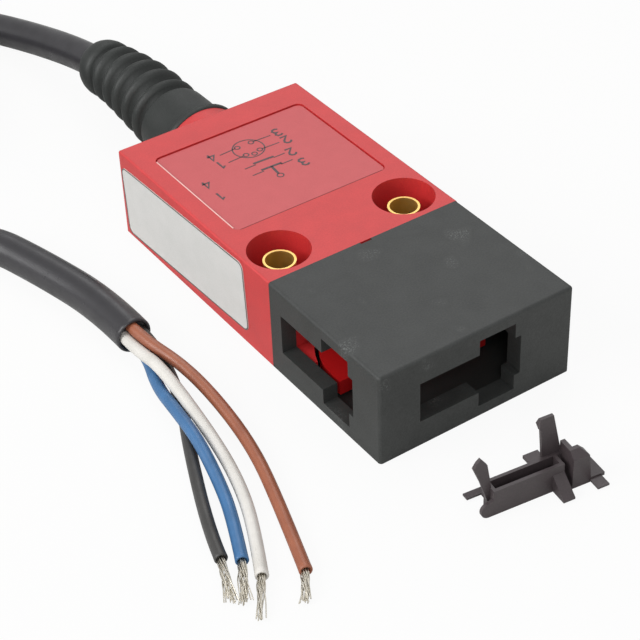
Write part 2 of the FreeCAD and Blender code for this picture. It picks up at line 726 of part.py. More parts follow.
centre = (plunger_x, mid_height)
guide_radius = dims.guide_diameter / 2 - dims.press_gap
pin_hole = dims.plunger_diameter / 2 + dims.running_gap
tube = cylinder("guide_tube", "y", centre, guide_radius, guide_front, cavity_front)
flange = cylinder("guide_flange_disc", "y", centre, dims.guide_flange / 2, cavity_front, flange_rear)
hole = cylinder("guide_hole", "y", centre, pin_hole, guide_front - OVERCUT, flange_rear + OVERCUT)
node(cut("plunger_guide", fuse("guide_body", tube, flange), hole))

seal_front = guide_front - dims.seal_thickness
ring = cylinder("seal_ring", "y", centre, guide_radius, seal_front, guide_front)
hole = cylinder("seal_hole", "y", centre, pin_hole, seal_front - OVERCUT, guide_front + OVERCUT)
node(cut("plunger_seal", ring, hole))

# Contact carriage: a moulded slide with a window for each contact bridge

carriage_front = collar_rear
carriage_rear = carriage_front + dims.carriage_length
carriage_low = mid_height - dims.carriage_height / 2
carriage_side = dims.carriage_width / 2
carriage_sides = (plunger_x - carriage_side, plunger_x + carriage_side)
nc_window = (carriage_front + dims.window_front, carriage_front + dims.window_front + dims.window_length)
no_window = (nc_window[1] + dims.window_rib, nc_window[1] + dims.window_rib + dims.window_length)
windows = (nc_window, no_window)

carriage = new_body("contact_carriage")
profile = sketch_on(carriage, "XY_Plane", "carriage_outline", carriage_low)
add_rectangle(profile, carriage_sides, (carriage_front, carriage_rear))
add_pad(carriage, profile, dims.carriage_height)
profile = sketch_on(carriage, "YZ_Plane", "window_outline", plunger_x - carriage_side)
for window in windows:
    add_rectangle(profile, window, (mid_height - dims.window_height / 2, mid_height + dims.window_height / 2))
add_pocket(carriage, profile, dims.carriage_width, along_normal=True)
node(carriage)

# Moving contact bridges, each pressed against the far side of its window

nc_front = nc_window[0] + dims.fit_gap
no_rear = no_window[1] - dims.fit_gap
bridge_x = (plunger_x - dims.bridge_length / 2, plunger_x + dims.bridge_length / 2)
bridge_z = (mid_height - dims.bridge_height / 2, mid_height + dims.bridge_height / 2)
node(box("nc_bridge", bridge_x, (nc_front, nc_front + dims.bridge_thickness), bridge_z))
node(box("no_bridge", bridge_x, (no_rear - dims.bridge_thickness, no_rear), bridge_z))


def tips(word, low):
    """A pair of contact tips, one each side of the plunger axis."""
    pair = []
    for name, side in (("left", -1), ("right", 1)):
        place = (plunger_x + dims.contact_reach * side, mid_height)
        high = low + dims.tip_thickness
        pair.append(cylinder(f"{word}_tip_{name}", "y", place, dims.tip_diameter / 2, low, high))
    return pair


nc_moving = tips("nc_moving", nc_front - dims.tip_thickness)
node(group("moving_contact_tips", *nc_moving, *tips("no_moving", no_rear)))

# Fixed contacts: blades that stand in the base, with a soldering foot each

nc_tip = nc_front - dims.tip_thickness - dims.cam_throw - dims.contact_gap - dims.tip_thickness
no_tip = no_rear + dims.tip_thickness + dims.contact_gap
node(group("fixed_contact_tips", *tips("nc_fixed", nc_tip), *tips("no_fixed", no_tip)))


def blades(word, low, foot_y):
    """A pair of bent-up blades. Each foot lies on the base plate."""
    pair = []
    for name, side in (("left", -1), ("right", 1)):
        middle = plunger_x + dims.contact_reach * side
        wide = (middle - dims.blade_width / 2, middle + dims.blade_width / 2)
        thick = (low, low + dims.blade_thickness)
        blade = box(f"{word}_blade_{name}", wide, thick, (base_top, dims.blade_top))
        foot_x = wide
        if word == "nc":
            outer = middle + (dims.blade_width / 2 + dims.foot_length) * side
            foot_x = (outer, wide[1]) if side < 0 else (wide[0], outer)
        foot = box(f"{word}_foot_{name}", foot_x, foot_y, (base_top, base_top + dims.blade_thickness))
        pair.append(fuse(f"{word}_contact_{name}", blade, foot))
    return pair


nc_blade = nc_tip - dims.blade_thickness
no_blade = no_tip + dims.tip_thickness
nc_foot_rear = nc_blade + dims.foot_length
no_foot_rear = no_blade + dims.foot_length
node(group("nc_fixed_contacts", *blades("nc", nc_blade, (nc_blade, nc_foot_rear))))
node(group("no_fixed_contacts", *blades("no", no_blade, (no_blade, no_foot_rear))))

# Insulating base of the contact block, with rails for the carriage and the wall behind its spring

potting_front = cavity_rear - dims.potting_length
post_y = (potting_front - dims.fit_gap - dims.spring_post, potting_front - dims.fit_gap)
rail_inner = carriage_side + dims.rail_gap
rails = []
for word, low in (("left", plunger_x - rail_inner - dims.rail_width), ("right", plunger_x + rail_inner)):
    rails.append(box(f"{word}_rail", (low, low + dims.rail_width), (carriage_front, carriage_rear),
                     (base_top, base_top + dims.rail_height)))
floor_side = cavity_side - dims.base_gap
floor_plate = box("base_plate", (-floor_side, floor_side), (cavity_front + dims.base_gap, post_y[1]),
                  (dims.cover_thickness, base_top))
post = box("spring_wall", (plunger_x - dims.post_width / 2, plunger_x + dims.post_width / 2), post_y,
           (base_top, mid_height + dims.post_width / 2))
node(fuse("contact_base", floor_plate, post, *rails))


# Springs, wound from their own wire

STEPS_A_TURN = 10
WIRE_SIDES = 5


def coil_spring(x, y, z, radius, wire, turns):
    """A compression spring along Y: a five-sided wire swept in short straight steps round a helix."""
    radius, half_wire, steps = float(radius), float(wire) / 2, round(STEPS_A_TURN * float(turns))
    low = float(y[0] + dims.fit_gap) + half_wire
    rise = (float(y[1] - dims.fit_gap) - half_wire - low) / steps
    places = []
    for i in range(steps + 1):
        angle = 2 * math.pi * i / STEPS_A_TURN
        places.append(FreeCAD.Vector(float(x) + radius * math.cos(angle), low + rise * i,
                                     float(z) + radius * math.sin(angle)))
    onward = (places[1] - places[0]).normalize()
    outward = FreeCAD.Vector(1, 0, 0)
    sideward = onward.cross(outward).normalize()
    outward = sideward.cross(onward)
    section = []
    for i in range(WIRE_SIDES + 1):
        angle = 2 * math.pi * i / WIRE_SIDES
        corner = outward * math.cos(angle) + sideward * math.sin(angle)
        section.append(places[0] + corner * half_wire)
    path = Part.Wire(Part.makePolygon(places).Edges)
    return path.makePipeShell([Part.makePolygon(section)], True, False, 1)


spring = coil_spring(plunger_x, (carriage_rear, post_y[0]), mid_height, dims.spring_radius, dims.spring_wire,
                     dims.spring_turns)
node(plain_feature("return_spring", spring))
bridge_springs = []
nc_stretch = (nc_front + dims.bridge_thickness, nc_window[1])
no_stretch = (no_window[0], no_rear - dims.bridge_thickness)
for stretch in (nc_stretch, no_stretch):
    bridge_springs.append(coil_spring(plunger_x, stretch, mid_height, dims.bridge_spring_radius,
                                      dims.bridge_spring_wire, dims.bridge_spring_turns))
node(plain_feature("contact_springs", Part.makeCompound(bridge_springs)))

# Resin plug that seals the cavity where the cores come in

node(box("potting_block", (-dims.potting_width / 2, dims.potting_width / 2), (potting_front, cavity_rear),
         (dims.cover_thickness, cavity_top)))


# Cords: straight runs joined by tangent arcs

def cord_wire(points, radii):
    """The centre line through the route's points. Adds each bend's radius to the list of radii."""
    points = [FreeCAD.Vector(*point) for point in points]
    edges = []
    start = points[0]
    for before, corner, after in zip(points, points[1:], points[2:]):
        back, on = before - corner, after - corner
        half_turn = (math.pi - back.getAngle(on)) / 2
        setback = 0.45 * min(back.Length, on.Length)
        radii.append(setback / math.tan(half_turn))
        back.normalize()
        on.normalize()
        inward = back + on
        inward.normalize()
        middle = corner + inward * (radii[-1] / math.cos(half_turn) - radii[-1])
        first, last = corner + back * setback, corner + on * setback
        edges.append(Part.LineSegment(start, first).toShape())
        edges.append(Part.Arc(first, middle, last).toShape())
        start = last
    edges.append(Part.LineSegment(start, points[-1]).toShape())
    return Part.Wire(edges)


def round_wire(radius, place, direction):
    return Part.Wire([Part.makeCircle(radius, place, direction)])


def cord(name, points, diameter):
    """A round cord along a route, with its bends printed and its volume compared with its length."""
    radii = []
    path = cord_wire(points, radii)
    start = path.OrderedEdges[0]
    section = round_wire(float(diameter) / 2, start.valueAt(0), start.tangentAt(0))
    shape = path.makePipeShell([section], True, False)
    expected = math.pi * float(diameter) ** 2 / 4 * path.Length
    print(f"{name}: {path.Length:.1f} mm, bends", [round(radius, 1) for radius in radii])
    if abs(shape.Volume / expected - 1) > 0.01:
        raise ValueError(f"{name} has volume {shape.Volume:.2f}, not {expected:.2f}")
    return plain_feature(name, shape)


jacket_radius = float(dims.jacket_diameter) / 2
core_radius = float(dims.core_diameter) / 2
cable_height = float(mid_height)

# Inner leads, from each soldering foot back to the resin

on_foot = float(base_top + dims.blade_thickness) + core_radius
on_base = float(base_top + dims.fit_gap) + core_radius
lead_end = float(potting_front - dims.solder_gap)
beside_foot = float(nc_foot_rear + dims.solder_gap)
lead_bend = float(nc_foot_rear + dims.solder_gap + dims.lead_run)
along_foot = float(no_foot_rear - dims.solder_overlap)
outer = float(dims.contact_reach + dims.blade_width / 2 + dims.foot_length) - core_radius
inner = float(dims.contact_reach)
beside_inner = float(dims.contact_reach + dims.core_diameter + dims.solder_gap)
middle = float(plunger_x)
lead_routes = {
    "lead_brown": [(middle - outer, beside_foot, on_base), (middle - outer, lead_bend, on_base),
                   (middle - beside_inner, lead_end, on_foot)],
    "lead_blue": [(middle + outer, beside_foot, on_base), (middle + outer, lead_bend, on_base),
                  (middle + beside_inner, lead_end, on_foot)],
    "lead_black": [(middle - inner, along_foot, on_foot), (middle - inner, lead_end, on_foot)],
    "lead_white": [(middle + inner, along_foot, on_foot), (middle + inner, lead_end, on_foot)],
}
for name, points in lead_routes.items():
    node(cord(name, points, dims.core_diameter))

# Cable from the resin through the boot to the coil, and from the coil back to its stripped end

floor_height = jacket_radius
coil_centre = (-56.0, 97.0)
outer_turn = float(dims.coil_radius) + jacket_radius


def on_coil(angle):
    """A place on the coil's outer turn, at an angle from +X in degrees."""
    turn = math.radians(angle)
    along, across = math.cos(turn), math.sin(turn)
    return (coil_centre[0] + outer_turn * along, coil_centre[1] + outer_turn * across, floor_height)


run_out = [(0, float(cavity_rear), cable_height), (0, 56, cable_height), (-0.8, 76, 6.0), (-3.2, 92, 3.4),
           (-7.5, 106, floor_height), (-16, 119, floor_height), (-28.5, 128.5, floor_height),
           (-40, 132.2, floor_height), on_coil(80)]
run_back = [on_coil(235), (-64, 59.2, floor_height), (-51.5, 51, floor_height), (-41, 42, floor_height),
            (-34.5, 30, floor_height), (-31.5, 20, floor_height), (-30.6, 10, floor_height)]
node(cord("cable_run_out", run_out, dims.jacket_diameter))
node(cord("cable_run_back", run_back, dims.jacket_diameter))

reach = float(dims.jacket_diameter)
inside, outside = float(dims.coil_radius) - reach, float(dims.coil_radius) + reach
outline = Part.makePolygon([FreeCAD.Vector(across, 0, up) for across, up in (
    (inside, 0), (outside, 0), (outside, reach * 2), (inside, reach * 2), (inside, 0))])
ring_face = Part.Face(outline)
coil = plain_feature("cable_coil", ring_face.revolve(FreeCAD.Vector(), FreeCAD.Vector(0, 0, 1), 360))
coil.Placement.Base = FreeCAD.Vector(coil_centre[0], coil_centre[1], 0)
node(coil)

# Stripped cores, spread on the surface, with their bare strands

cut_end = FreeCAD.Vector(*run_back[-1])
cut_heading = (cut_end - FreeCAD.Vector(*run_back[-2])).normalize()
cut_sideways = FreeCAD.Vector(-cut_heading.y, cut_heading.x, 0)
core_offset = core_radius + float(dims.core_gap)


def out_of_jacket(side, up):
    """The first two places of a core, straight out of the jacket's cut end."""
    start = cut_end + cut_sideways * core_offset * side + FreeCAD.Vector(0, 0, core_offset * up)
    return [tuple(start), tuple(start + cut_heading * float(dims.core_straight))]


core_routes = {
    "brown": out_of_jacket(1, 1) + [
        (-28.7, -1, 3.3), (-28.3, -9, 2.5), (-28.9, -18.5, 1.4), (-31.2, -28, 0.9),
        (-35.9, -42.2, 0.9)],
    "white": out_of_jacket(-1, 1) + [
        (-32, -1.5, 3.9), (-32.8, -17, 1.6), (-34.6, -25.8, 0.9), (-37.6, -33.3, 0.9),
        (-40.8, -39.7, 0.9)],
    "blue": out_of_jacket(-1, -1) + [
        (-33.3, -1.5, 2.3), (-34.4, -9, 3), (-35, -15.5, 2.8), (-36.3, -22.5, 1.4), (-38.2, -28.8, 0.9),
        (-41.4, -36, 0.9)],
    "black": out_of_jacket(1, -1) + [
        (-30, 0, 0.95), (-32.4, -7, 0.9), (-36, -14.5, 0.9), (-42, -29, 0.9),
        (-43.4, -34.1, 0.9)],
}
strand_lengths = {"brown": 6, "white": 8, "blue": 8, "black": 8}
strands = []
for colour, points in core_routes.items():
    node(cord(f"core_{colour}", points, dims.core_diameter))
    end = FreeCAD.Vector(*points[-1])
    heading = end - FreeCAD.Vector(*points[-2])
    strands.append(Part.makeCylinder(float(dims.strand_diameter) / 2, strand_lengths[colour], end, heading))
node(plain_feature("core_ends", Part.makeCompound(strands)))

# Boot: a tapered sleeve round the cable, ribbed so that it bends, on a flange against the boss

boot_path = cord_wire(run_out[:4], [])


def station(distance):
    """Point and direction on the cable's centre line, at a distance from its inner end."""
    for edge in boot_path.OrderedEdges:
        if distance <= edge.Length:
            parameter = edge.getParameterByLength(distance)
            return edge.valueAt(parameter), edge.tangentAt(parameter)
        distance -= edge.Length
    raise ValueError("the boot is longer than its stretch of cable")


flange_start = float(dims.rear_wall + dims.boss_length)
boot_start = flange_start + float(dims.boot_flange_length)
ribs_start = boot_start + float(dims.boot_smooth)
boot_end = ribs_start + float(dims.rib_pitch * dims.rib_count)


def outer_radius(distance):
    """Outside of the boot, tapering from root to tip."""
    share = max(0.0, (distance - ribs_start) / (boot_end - ribs_start))
    return float(dims.boot_root) / 2 + (float(dims.boot_tip) - float(dims.boot_root)) / 2 * share


def ring_at(distance, depth):
    """A round section of the boot, this deep below its tapered outside."""
    return round_wire(outer_radius(distance) - depth, *station(distance))


pitch, half_crown, groove = float(dims.rib_pitch), float(dims.rib_crown) / 2, float(dims.rib_height)
sections = [ring_at(flange_start, 0), ring_at(ribs_start + half_crown - pitch / 2, 0)]
for i in range(int(float(dims.rib_count))):
    middle = ribs_start + pitch * (i + 0.5)
    sections.append(ring_at(middle - pitch / 2, groove))
    sections.append(ring_at(middle - half_crown, 0))
    sections.append(ring_at(middle + half_crown, 0))
sections.append(ring_at(boot_end, groove))
sleeve = Part.makeLoft(sections, True, True)
place, direction = station(flange_start)
flange = Part.makeCylinder(float(dims.boot_flange) / 2, float(dims.boot_flange_length), place, direction)
bore = boot_path.makePipeShell([round_wire(jacket_radius + float(dims.fit_gap), *station(0))], True, False)
node(plain_feature("cable_boot", flange.fuse(sleeve).cut(bore).removeSplitter()))

# Slot plug: the blanking piece for the unused key slot, lying loose in front of the head

plug = new_body("slot_plug")
behind = dims.plug_depth
wall = dims.plug_wall
block_start = dims.plug_block_place
block_end = block_start + dims.plug_block_length
block_front = -dims.plug_block_margin
block_rear = block_front + dims.plug_block_depth
plug_height = dims.slot_height - dims.plug_gap * 2
foot_start, foot_end = dims.plug_foot_place, dims.plug_foot_place + dims.plug_foot_width
foot_low = dims.plug_foot_low
foot_high = foot_low + dims.plug_foot_thickness


def add_plug_part(name, plane, outline, low, high):
    """Draws an outline out between two places along the axis that its plane leaves out."""
    backwards = plane == "XZ"
    profile = sketch_on(plug, f"{plane}_Plane", name, -as_size(low) if backwards else low)
    if isinstance(outline, tuple):
        add_circle(profile, *outline)
    else:
        add_outline(profile, outline)
    add_pad(plug, profile, as_size(high) - low, backwards=backwards)


def sides_of(across, up):
    """The corners of a rectangle between two pairs of Sizes."""
    return [(across[0], up[0]), (across[1], up[0]), (across[1], up[1]), (across[0], up[1])]


# Channel with its nose hook, its end wall and a cross wall
nose = dims.plug_nose
nose_x = dims.plug_nose_place
end_rear = dims.plug_end + wall
rise = dims.plug_rise
add_plug_part("plug_floor", "XY", sides_of((dims.plug_end, block_start), (0, behind)), 0, dims.plug_floor)
add_plug_part("plug_near_wall", "XZ", [
    (nose_x, 0), (foot_end, 0), (foot_end, rise), (end_rear, rise), (end_rear, dims.plug_step),
    (nose_x, nose * 2)], 0, wall)
add_plug_part("plug_nose", "XZ", ((nose_x, nose), nose), 0, wall)
add_plug_part("plug_far_wall", "XZ", sides_of((dims.plug_end, block_start), (0, rise)), behind - wall, behind)
for name, low in (("plug_end_wall", dims.plug_end), ("plug_cross_wall", foot_end - wall)):
    add_plug_part(name, "YZ", sides_of((0, behind), (0, rise)), low, low + wall)

# Block that fills the slot's end, with a bevelled front, a rib behind it and the lip past it
bevel = dims.plug_bevel
bevel_low = plug_height - bevel
add_plug_part("plug_block", "XZ", [
    (block_start, 0), (block_end, 0), (block_end - wall, bevel_low), (block_end - bevel - wall, plug_height),
    (block_start, plug_height)], block_front, block_rear)
profile = sketch_on(plug, "YZ_Plane", "plug_block_bevel", block_start)
add_outline(profile, [
    (block_front - OVERCUT, bevel_low - OVERCUT), (block_front + bevel + OVERCUT, plug_height + OVERCUT),
    (block_front - OVERCUT, plug_height + OVERCUT)])
add_pocket(plug, profile, dims.plug_block_length, along_normal=True)
add_plug_part("plug_rib", "YZ", sides_of((block_rear, behind), (0, plug_height)), block_start,
              block_start + dims.plug_rib)
add_plug_part("plug_lip", "XY", sides_of((block_start, block_end + dims.plug_lip), (block_front, behind)),
              foot_low, dims.plug_floor)

# Feet in front, the first one sloped, and the tab and the wing behind
foot_front = -dims.plug_foot_reach
add_plug_part("plug_near_foot", "YZ", [
    (foot_front, foot_low), (wall, foot_low), (wall, dims.plug_step), (0, dims.plug_step),
    (foot_front, foot_high)], foot_start, foot_end)
end_foot = (block_end - foot_low, block_end - foot_low + dims.plug_foot_width)
add_plug_part("plug_end_foot", "XY", sides_of(end_foot, (foot_front, 0)), foot_low, foot_high)
tab_front, tab_rear = behind + dims.plug_tab_gap, behind + dims.plug_tab_gap + dims.plug_tab_reach
tab_start, tab_end = nose_x - wall * 2, end_rear + dims.plug_tab_gap
add_plug_part("plug_tab", "XY", [
    (tab_start, tab_front), (end_rear, tab_front), (end_rear, behind - wall), (tab_end, behind - wall),
    (tab_end, tab_rear), (tab_start, tab_rear)], foot_low, foot_high)
wing = (dims.plug_wing_place, dims.plug_wing_place + dims.plug_wing_width)
wing_rear = behind + dims.plug_wing_reach
add_plug_part("plug_wing", "XY", sides_of(wing, (behind - wall, wing_rear)), rise - wall, rise)

# Snap arm with its hook, as high as the cross part of the slot
snap, snap_end = dims.plug_snap_place, dims.plug_snap_place + dims.plug_snap_root
tip, tip_end = snap - dims.plug_snap_lean, snap - dims.plug_snap_lean + dims.plug_snap_tip
snap_top = dims.ear_height - dims.plug_gap * 2
hook = dims.plug_snap_hook
add_plug_part("plug_snap", "XZ", [
    (snap, dims.plug_floor), (snap_end, dims.plug_floor), (snap_end, rise), (tip_end, snap_top),
    (tip, snap_top), (snap, rise)], behind, behind + wall)
snap_rear = behind + wall
add_plug_part("plug_hook", "YZ", [
    (behind, snap_top - hook * 3), (snap_rear, snap_top - hook * 3), (snap_rear + hook, snap_top - hook * 2),
    (snap_rear, snap_top), (behind, snap_top)], tip, tip_end - dims.plug_gap)

# Leaf spring on its stem, against the channel's end wall
stem = dims.plug_end - dims.plug_leaf_stem
leaf_low = rise + nose
leaf_top = dims.plug_leaf_height
leaf_wide = (leaf_low + leaf_top) / 2 + wall + dims.plug_foot_thickness
half_leaf = dims.plug_leaf_width / 2
leaf_front = (behind - wall) / 2
add_plug_part("plug_leaf", "XZ", [
    (stem + wall, dims.plug_leaf_low), (end_rear, dims.plug_leaf_low - wall), (dims.plug_end, leaf_low),
    (dims.plug_end - wall, leaf_wide), (stem - half_leaf / 2, leaf_top), (stem - half_leaf, leaf_top - wall),
    (stem - half_leaf - wall, leaf_wide), (stem - wall, leaf_low)], leaf_front, leaf_front + wall)

turn = FreeCAD.Rotation(FreeCAD.Vector(0, 0, 1), -float(dims.plug_turn))
plug.Placement = FreeCAD.Placement(FreeCAD.Vector(), turn)
bind(plug, "Placement.Base.x", -dims.plug_beside)
bind(plug, "Placement.Base.y", front_face - dims.plug_ahead)
node(plug)

# Checks and export

doc.recompute()
for thing in doc.Objects:
    if "Invalid" in thing.State or "Error" in thing.State:
        raise ValueError(f"{thing.Name} did not build: {thing.State}")
for thing in nodes:
    if thing.Shape.isNull() or not thing.Shape.isValid() or not thing.Shape.Solids:
        raise ValueError(f"{thing.Label} has no valid solid")
    if thing.TypeId == "PartDesign::Body":
        before = None
        for feature in thing.Group:
            if feature.isDerivedFrom("PartDesign::Feature"):
                volume = feature.Shape.Volume
                if feature.TypeId == "PartDesign::Pocket" and not volume < before - 0.001:
                    raise ValueError(f"{feature.Name} cuts nothing")
                if feature.TypeId == "PartDesign::Pad" and before is not None and not volume > before + 0.001:
                    raise ValueError(f"{feature.Name} adds nothing")
                before = volume

os.makedirs("parts", exist_ok=True)
for thing in nodes:
    thing.Shape.exportStep(f"parts/{thing.Label}.step")
print(len(nodes), "nodes", sum(len(thing.Shape.Solids) for thing in nodes), "solids")
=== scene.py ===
# %% [markdown]
# # A tongue interlock switch, dressed in Blender
# The CAD model gives every rigid piece its true shape and place. This script loads it as a fixed frame,
# lays the cable and its cores as smooth curves, gives each piece the finish of its real material, and
# sets the camera and the light. Blender works in metres, so sizes written in millimetres are turned once.

import math
import random

import bmesh
import bpy
from mathutils import Matrix, Vector


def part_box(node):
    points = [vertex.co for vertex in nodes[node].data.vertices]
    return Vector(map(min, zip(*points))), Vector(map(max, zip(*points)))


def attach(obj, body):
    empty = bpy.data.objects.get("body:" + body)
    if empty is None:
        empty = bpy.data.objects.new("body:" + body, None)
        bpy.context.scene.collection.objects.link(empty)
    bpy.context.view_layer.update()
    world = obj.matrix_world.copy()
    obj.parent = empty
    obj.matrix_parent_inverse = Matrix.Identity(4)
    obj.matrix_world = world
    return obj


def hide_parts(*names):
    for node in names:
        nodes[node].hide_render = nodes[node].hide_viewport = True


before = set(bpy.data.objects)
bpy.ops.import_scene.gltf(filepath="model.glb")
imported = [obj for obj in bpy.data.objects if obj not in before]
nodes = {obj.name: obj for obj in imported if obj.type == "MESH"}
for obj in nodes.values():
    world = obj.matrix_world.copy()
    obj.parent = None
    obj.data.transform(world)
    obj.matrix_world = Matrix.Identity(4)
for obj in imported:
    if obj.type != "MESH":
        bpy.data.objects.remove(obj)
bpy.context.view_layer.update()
MM = 0.001
scene = bpy.context.scene

# %% [markdown]
# ## The camera
# A long lens from above the front left corner, as in the photograph. A camera could be turned by three
# angles, but the photograph gives directions: to the right, up, and back towards the photographer. These
# three are measured, so they go into its matrix as they are, and the lens and the place fit them.

# %% Camera
LENS_MM = 104.542
CAMERA_PLACE = (-122.83, -181.236, 170.185)
TO_THE_RIGHT = (0.822399, -0.567945, -0.033134)
UPWARD = (0.3739, 0.495684, 0.783898)
BACKWARD = (-0.428787, -0.657066, 0.620005)

camera = bpy.data.objects.new("camera", bpy.data.cameras.new("camera"))
camera.data.lens = LENS_MM
camera.data.sensor_width = 36
camera.data.clip_start = 0.01
camera.data.clip_end = 10
turned = Matrix((TO_THE_RIGHT, UPWARD, BACKWARD)).transposed()
camera.matrix_world = Matrix.Translation(Vector(CAMERA_PLACE) * MM) @ turned.to_4x4()
scene.collection.objects.link(camera)
scene.camera = camera
print("camera at", [round(x, 3) for x in camera.location], "lens", LENS_MM)

# %% [markdown]
# ## The cable and its cores
# A round PVC cable is stiff enough to lie in long even curves. It leaves the boot straight, comes down to
# the table, is wound into a neat coil, and comes back to its stripped end. The four cores spread out of
# the cut end. A cord could be a tube of mesh, but a NURBS spline is smooth at any distance and needs few
# points, so one spline follows the route that the CAD tube has, and each core is a spline of its own.

# %% A smooth cord along a route
CORD_STEPS = 12
CORD_ROUNDNESS = 11


def new_piece(name, data):
    """An object in the scene that holds this mesh or curve."""
    piece = bpy.data.objects.new(name, data)
    scene.collection.objects.link(piece)
    return piece


def smooth_cord(name, route_mm, diameter_mm):
    """A round cord whose NURBS spline has the route's points as its control points."""
    data = bpy.data.curves.new(name, "CURVE")
    data.dimensions = "3D"
    spline = data.splines.new("NURBS")
    spline.points.add(len(route_mm) - 1)
    for control, point in zip(spline.points, route_mm):
        control.co = (*(Vector(point) * MM), 1.0)
        control.radius = diameter_mm / 2 * MM
    spline.order_u = 3
    spline.use_endpoint_u = True
    spline.use_smooth = True
    data.resolution_u = CORD_STEPS
    # Each point carries the cord's real radius, which keeps Blender's box for the cord true.
    data.bevel_depth = 1.0
    data.bevel_resolution = CORD_ROUNDNESS
    data.use_fill_caps = True
    return new_piece(name, data)


# %% The cable, with its coil
JACKET_MM = 5.6
COIL_CENTRE = (-56.0, 97.0)
COIL_RADIUS = 33.5
JACKET_ON_FLOOR = JACKET_MM / 2
STEPS_A_TURN = 24
FULL_TURN = 360
FIRST_TURN_AT = 80
LEAVES_AT = 235 + 3 * FULL_TURN
CHANGES_OVER = 45

run_out = [(0, 34.4, 7.5), (0, 46, 7.6), (0.3, 60, 8.8), (-0.3, 77, 6.9), (-2.6, 92, 4.5),
           (-7.3, 106.1, 2.8), (-16, 119, 2.8), (-28.5, 128.5, 2.8), (-40, 132.2, 2.8)]
run_back = [(-64, 59.2, 6.4), (-50.5, 51.5, 3.6), (-37.2, 44.7, 2.8), (-33.3, 31.2, 2.8),
            (-30.6, 18.4, 2.8), (-30.6, 10, 2.8)]


def coil_route():
    """Three turns and a part turn: outside on the table, inside, inside on top, and outside on top."""
    outer = COIL_RADIUS + JACKET_MM / 2
    inner = COIL_RADIUS - JACKET_MM / 2
    low, high = JACKET_ON_FLOOR, JACKET_ON_FLOOR + JACKET_MM
    turns = [(outer, low), (inner, low), (inner, high), (outer, high)]
    control_share = 1 / math.cos(math.pi / STEPS_A_TURN)
    step = FULL_TURN / STEPS_A_TURN
    route = []
    angle = FIRST_TURN_AT
    while angle <= LEAVES_AT:
        turn, into = divmod(angle - FIRST_TURN_AT, FULL_TURN)
        here = turns[int(turn)]
        after = turns[min(int(turn) + 1, len(turns) - 1)]
        share = max(0.0, (into - FULL_TURN + CHANGES_OVER) / CHANGES_OVER)
        radius = (here[0] + (after[0] - here[0]) * share) * control_share
        height = here[1] + (after[1] - here[1]) * share
        route.append((COIL_CENTRE[0] + radius * math.cos(math.radians(angle)),
                      COIL_CENTRE[1] + radius * math.sin(math.radians(angle)), height))
        angle += step
    return route


cable = smooth_cord("cable", run_out + coil_route() + run_back, JACKET_MM)
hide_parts("cable_run_out", "cable_coil", "cable_run_back")
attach(cable, "case")
print("cable control points:", len(cable.data.splines[0].points))

# %% The four cores
CORE_MM = 1.8
cut_end = Vector(run_back[-1])
heading = (cut_end - Vector(run_back[-2])).normalized()
sideways = Vector((-heading.y, heading.x, 0))
CORE_GAP = 0.03
CORE_OFFSET = (CORE_MM / 2 + CORE_GAP) * math.sqrt(2)
STRAIGHT_OUT = 4

# Each core has its place in the cable's end, sideways and up, and the way that it takes from there.
core_ways = {
    "brown": (0, 1, [(-28.7, -1, 3.3), (-28.3, -9, 2.5), (-28.9, -18.5, 1.4), (-31.2, -28, 0.9),
                     (-35.9, -42.2, 0.9)]),
    "white": (-1, 0, [(-32.1, -1.5, 4.7), (-32.8, -17, 1.8), (-34.6, -25.8, 0.9), (-37.6, -33.3, 0.9),
                      (-40.8, -39.7, 0.9)]),
    "blue": (0, -1, [(-33.3, -1.5, 1.9), (-34.4, -9, 3), (-35, -15.5, 2.8), (-36.3, -22.5, 1.4),
                      (-38.2, -28.8, 0.9), (-41.4, -36, 0.9)]),
    "black": (1, 0, [(-30, 0, 0.95), (-32.4, -7, 0.9), (-36, -14.5, 0.9), (-42, -29, 0.9),
                      (-43.4, -34.1, 0.9)]),
}
cores = {}
core_routes = {}
for colour, (side, up, way) in core_ways.items():
    start = cut_end + sideways * CORE_OFFSET * side + Vector((0, 0, CORE_OFFSET * up))
    core_routes[colour] = [tuple(start), tuple(start + heading * STRAIGHT_OUT)] + way
    core = smooth_cord(f"core_{colour}_wire", core_routes[colour], CORE_MM)
    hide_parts(f"core_{colour}")
    cores[colour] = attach(core, "case")
print("cores:", sorted(cores))

# %% [markdown]
# ## The boot
# The rubber boot is moulded on the cable and bends with it. Its outside is a flange, a smooth stretch and
# six round ribs, each a little thinner than the one before. It could be turned straight and bent later,
# but then its bend and the cable's would be two different ones. So the rings of its mesh stand on the line
# of the cable itself.

# %% The cable's own line
def line_of(cord):
    """The points that a cord's spline runs through, in millimetres."""
    bare = cord.data.copy()
    bare.bevel_depth = 0
    holder = bpy.data.objects.new("bare_line", bare)
    points = [vertex.co / MM for vertex in bpy.data.meshes.new_from_object(holder).vertices]
    bpy.data.objects.remove(holder)
    return points


def place_along(line, distance):
    """The point this far along a line of points, and the direction there."""
    for here, after in zip(line, line[1:]):
        step = (after - here).length
        if distance <= step:
            return here.lerp(after, distance / step), (after - here).normalized()
        distance -= step
    return line[-1], (line[-1] - line[-2]).normalized()


cable_line = line_of(cable)
print("points on the cable's line:", len(cable_line))

